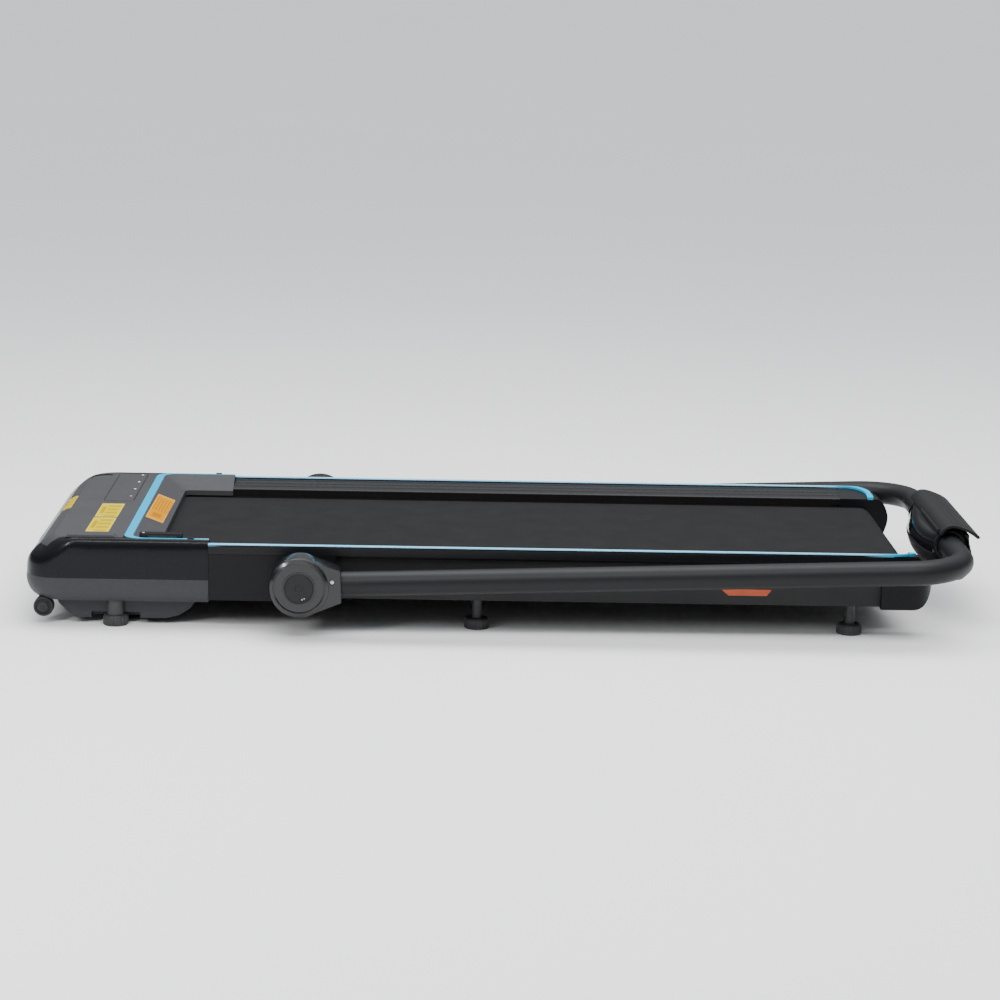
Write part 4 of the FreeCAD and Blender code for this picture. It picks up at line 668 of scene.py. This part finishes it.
# %% Pan-head screws
def hexagon(angle):
    """Reach of a hexagon with corners at 1, at an angle."""
    part = math.pi / 3
    return math.cos(part / 2) / math.cos((angle % part) - part / 2)


def pan_screw(name, centre, axis, radius, height, body):
    """Pan-head screw with a hexagon socket; radius and height are in mm."""
    profile = [(0, -0.4), (radius, -0.4), (radius, 0.35 * height), (0.86 * radius, 0.8 * height),
               (0.62 * radius, height), (0.50 * radius, height), (0.50 * radius, 0.2 * height),
               (0, 0.2 * height)]
    socket_rings = (5, 6)
    return spun(name, profile, centre, axis, FINISH["bare_steel"], body, 36,
                lambda number, angle: hexagon(angle) if number in socket_rings else 1)


SIDES = (("left", -1), ("right", 1))
OUTSIDE = 0.4
pivot = Vector((-0.318, 0, 0.083))
lean = Matrix.Rotation(-math.radians(2.016), 3, "Y")
neck_screw = pivot + lean @ Vector((0.050, 0, 0.0075))
for word, sign in SIDES:
    spot, normal = landing("hub_shell_" + word, neck_screw + Vector((0, sign * OUTSIDE, 0)), (0, -sign, 0))
    pan_screw("neck_screw_" + word, spot, (0, sign, 0), 3.6, 1.6, "handrail")
bridge_low, bridge_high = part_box("side_bridge")
bridge_middle = (bridge_low.y + bridge_high.y) / 2
pan_screw("bridge_screw", (bridge_low.x + 0.006, bridge_middle, bridge_high.z), (0, 0, 1), 2.2, 0.8, "deck")
print("screws placed, bridge top at", round(bridge_high.z, 4))

# %% [markdown]
# Two small clips hold the trim to the rail's front end, one each side. They are short strips
# over the light line, pressed on by hand.

# %% Trim clips
CLIP_START = -0.493
CLIP_STEP = 0.002
CLIP_SIDE = 0.2605
for word, sign in SIDES:
    starts = [(CLIP_START + CLIP_STEP * step, sign * CLIP_SIDE, ABOVE) for step in range(6)]
    laid_strip("trim_clip_" + word, "cover_trim", starts, DOWN, 4.0, 1.8, FINISH["rail_black"], "deck")
print("trim clips from X", CLIP_START)

# %% [markdown]
# The pivot hub has two thin raised lips, one near its rim and one round the knob. A light line
# on each is what makes the dark disc readable. They are hoops turned from a small profile. A
# pair of printed dots on each knob shows which way it unlocks.

# %% Hub lips and knob dots
HUB_FACE = 0.3414
HOOPS = {"hub_lip": [(37.6, 0.0), (39.6, 0.0), (39.2, 0.7), (38.6, 0.95), (38.0, 0.7)],
         "knob_lip": [(22.8, 0.0), (25.6, 0.0), (25.0, 0.6), (24.0, 0.8), (23.2, 0.6)]}
for word, sign in SIDES:
    for hoop, profile in HOOPS.items():
        spun("%s_%s" % (hoop, word), profile, pivot + Vector((0, sign * HUB_FACE, 0)), (0, sign, 0),
             FINISH["hub_black"], "handrail", 72)
PALE = finish("pad_printed_mark", (0.45, 0.45, 0.46), (0.4, 0.5), grain=(600, 0.01), worn=0.0, dust=0.0)
DOT = [(0, 0.0), (0.9, 0.0), (0.9, 0.08), (0, 0.1)]
DOT_PLACES = ((0.0082, -0.0152), (0.0048, -0.0166))
for word, sign in SIDES:
    for index, (along, up) in enumerate(DOT_PLACES):
        outside = (pivot.x + along, sign * OUTSIDE, pivot.z + up)
        spot, normal = landing("lock_knob_" + word, outside, (0, -sign, 0))
        spun("knob_dot_%s_%d" % (word, index + 1), DOT, spot, normal, PALE, "lock_knob_" + word, count=16)
print("hoops on the hubs", len(HOOPS) * 2)

# %% [markdown]
# Each wheel's axle head is hidden by a pressed plastic cap with a small raised boss. The cap
# stays still with the axle while the wheel turns, so it rides on the deck.

# %% Wheel caps
wheel_low, wheel_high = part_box("transport_wheel_left")
wheel_middle = (wheel_low + wheel_high) / 2
axle_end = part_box("wheel_axles")[1].y
CAP = [(0, 0.05), (7.4, 0.05), (7.4, 0.8), (6.6, 1.3), (3.4, 1.6), (3.0, 1.1), (1.6, 1.1), (1.3, 1.6),
       (0, 1.9)]
for word, sign in SIDES:
    spun("wheel_cap_" + word, CAP, (wheel_middle.x, sign * axle_end, wheel_middle.z), (0, sign, 0),
         FINISH["wheel_black"], "deck", 32)
print("wheel caps at z", round(wheel_middle.z, 4))

# %% [markdown]
# The console's front face is framed by a raised ledge, and a grey bar runs under the tablet
# rest, which holds a tablet's lower edge. Strips that follow the bulging body make both.

# %% Console frame and tablet lip
panel_low, panel_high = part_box("console_panel")
IN_FRONT = 0.60
ACROSS = 24


def across_console(height, first, last):
    """Starting points in front of the console, in a line across it."""
    return [(IN_FRONT, first + (last - first) * step / ACROSS, height) for step in range(ACROSS + 1)]


TOWARDS_BACK = (1, 0, 0)
laid_strip("console_ledge", "console_body", across_console(panel_low.z - 0.0035, panel_low.y, panel_high.y),
           TOWARDS_BACK, 3.6, 1.3, FINISH["console_grey"], "handrail")
laid_strip("console_brow", "console_body", across_console(panel_high.z + 0.0016, panel_low.y, panel_high.y),
           TOWARDS_BACK, 1.8, 0.8, FINISH["console_grey"], "handrail")
rest_low, rest_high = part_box("tablet_rest")
lip_height = rest_low.z + 0.008
laid_strip("tablet_lip", "tablet_rest", across_console(lip_height, -0.128, 0.036), TOWARDS_BACK, 6.5, 2.6,
           FINISH["console_grey"], "handrail")
SEAM_INSET = 0.004
seam_length = rest_high.y - rest_low.y - 2 * SEAM_INSET
for index, along in enumerate((0.7035, 0.7165)):
    starts = [(along, rest_low.y + SEAM_INSET + seam_length * step / ACROSS, ABOVE)
              for step in range(ACROSS + 1)]
    laid_strip("rest_seam_%d" % (index + 1), "tablet_rest", starts, DOWN, 0.9, 0.25,
               FINISH["rail_black"], "handrail")
print("console trim placed, rest from", round(rest_low.z, 4), "to", round(rest_high.z, 4))

# %% [markdown]
# A rubber collar fills the step where the handle's crossbar leaves each end of the console, so
# no dirt gets into the shell.

# %% Crossbar collars
ARM_LENGTH = 1.019
COLLAR_START = 0.1215
COLLAR = [(19.2, 0.0), (24.5, 0.0), (25.0, 0.8), (25.0, 5.2), (24.2, 6.0), (20.4, 6.0), (19.2, 5.0)]
bar = pivot + lean @ Vector((ARM_LENGTH, 0, 0))
for word, sign in SIDES:
    spun("bar_collar_" + word, COLLAR, bar + Vector((0, sign * COLLAR_START, 0)), (0, sign, 0),
         FINISH["console_grey"], "handrail", 56)
print("crossbar at", [round(number, 4) for number in bar])

# %% [markdown]
# The studio is a pale floor under a broad overhead light. A long strip lights the near side, and
# a small lamp stands where the lacquer of the nose mirrors it. The world is bright overhead and
# dim at the horizon, so it fills the shadows without greying the dark sides.

# %% Floor and light
def studio_floor():
    """Large flat sheet at floor height with a little unevenness in its shine."""
    material, tree, shader, spot = blank("studio_floor")
    marks = effect(tree, MARKS, spot, Scale=1.5, Low=0.6, High=0.75)
    tree.links.new(marks["Value"], shader.inputs["Roughness"])
    tone = add(tree, "TexNoise", {"Vector": spot, "Scale": 0.6, "Detail": 2.0})
    tree.links.new(mix_colour(tree, tone.outputs[0], (0.84, 0.84, 0.84, 1), (0.88, 0.88, 0.88, 1)),
                   shader.inputs["Base Color"])
    mesh = bpy.data.meshes.new("floor")
    half = 160
    corners = [(-half, -half, 0), (half, -half, 0), (half, half, 0), (-half, half, 0)]
    mesh.from_pydata(corners, [], [(0, 1, 2, 3)])
    mesh.materials.append(material)
    floor = bpy.data.objects.new("floor", mesh)
    scene.collection.objects.link(floor)


def lamp(name, place, aim, size, power):
    """Rectangular soft lamp at a place, facing a point; its power is in watts."""
    light = bpy.data.lights.new(name, "AREA")
    light.shape = "RECTANGLE"
    light.size, light.size_y = size
    light.energy = power
    made = bpy.data.objects.new(name, light)
    made.location = place
    made.rotation_mode = "QUATERNION"
    made.rotation_quaternion = (Vector(aim) - Vector(place)).to_track_quat("-Z", "Y")
    scene.collection.objects.link(made)


studio_floor()
lamp("overhead", (0.1, 0.3, 2.8), (0, 0, 0), (3.4, 1.6), 110)
lamp("front_strip", (0.1, -2.3, 2.4), (0.1, -0.3, 0.1), (3.4, 0.35), 60)
lamp("nose_softbox", (-1.55, -2.05, 1.28), (-0.68, -0.27, 0.13), (0.16, 0.62), 22)
world = bpy.data.worlds.new("studio")
world.use_nodes = True
sky = world.node_tree.nodes["Background"]
view = add(world.node_tree, "TexCoord").outputs["Generated"]
height = add(world.node_tree, "SeparateXYZ", {0: view}).outputs["Z"]
rise = add(world.node_tree, "MapRange", {"Value": height, "From Min": 0.15, "From Max": 0.9, "To Min": 0.10,
                                         "To Max": 1.7})
world.node_tree.links.new(rise.outputs[0], sky.inputs["Strength"])
sky.inputs["Color"].default_value = (0.94, 0.97, 1.0, 1)
scene.world = world
print("studio lit")

# %% [markdown]
# The camera stands back from the walker's left side and looks slightly down, with a long lens,
# so the machine shows its whole length with little perspective.

# %% Camera
def camera(place, yaw, pitch, roll, lens):
    """Camera that looks along +Y when all its angles are 0; angles are in radians."""
    forward = Vector((math.sin(yaw) * math.cos(pitch), math.cos(yaw) * math.cos(pitch), -math.sin(pitch)))
    right = Vector((math.cos(yaw), -math.sin(yaw), 0))
    up = right.cross(forward)
    rolled_right = right * math.cos(roll) + up * math.sin(roll)
    rolled_up = up * math.cos(roll) - right * math.sin(roll)
    data = bpy.data.cameras.new("view")
    data.lens = lens
    data.sensor_width = 36
    made = bpy.data.objects.new("view", data)
    turned = Matrix((rolled_right, rolled_up, -forward)).transposed()
    made.matrix_world = Matrix.Translation(place) @ turned.to_4x4()
    scene.collection.objects.link(made)
    scene.camera = made


camera(place=(-0.0968, -4.4135, 1.0513), yaw=0.0193637, pitch=0.2003081, roll=0.0204745, lens=99.93)
print("camera", scene.camera.name, "with a lens of", round(scene.camera.data.lens, 2), "mm")
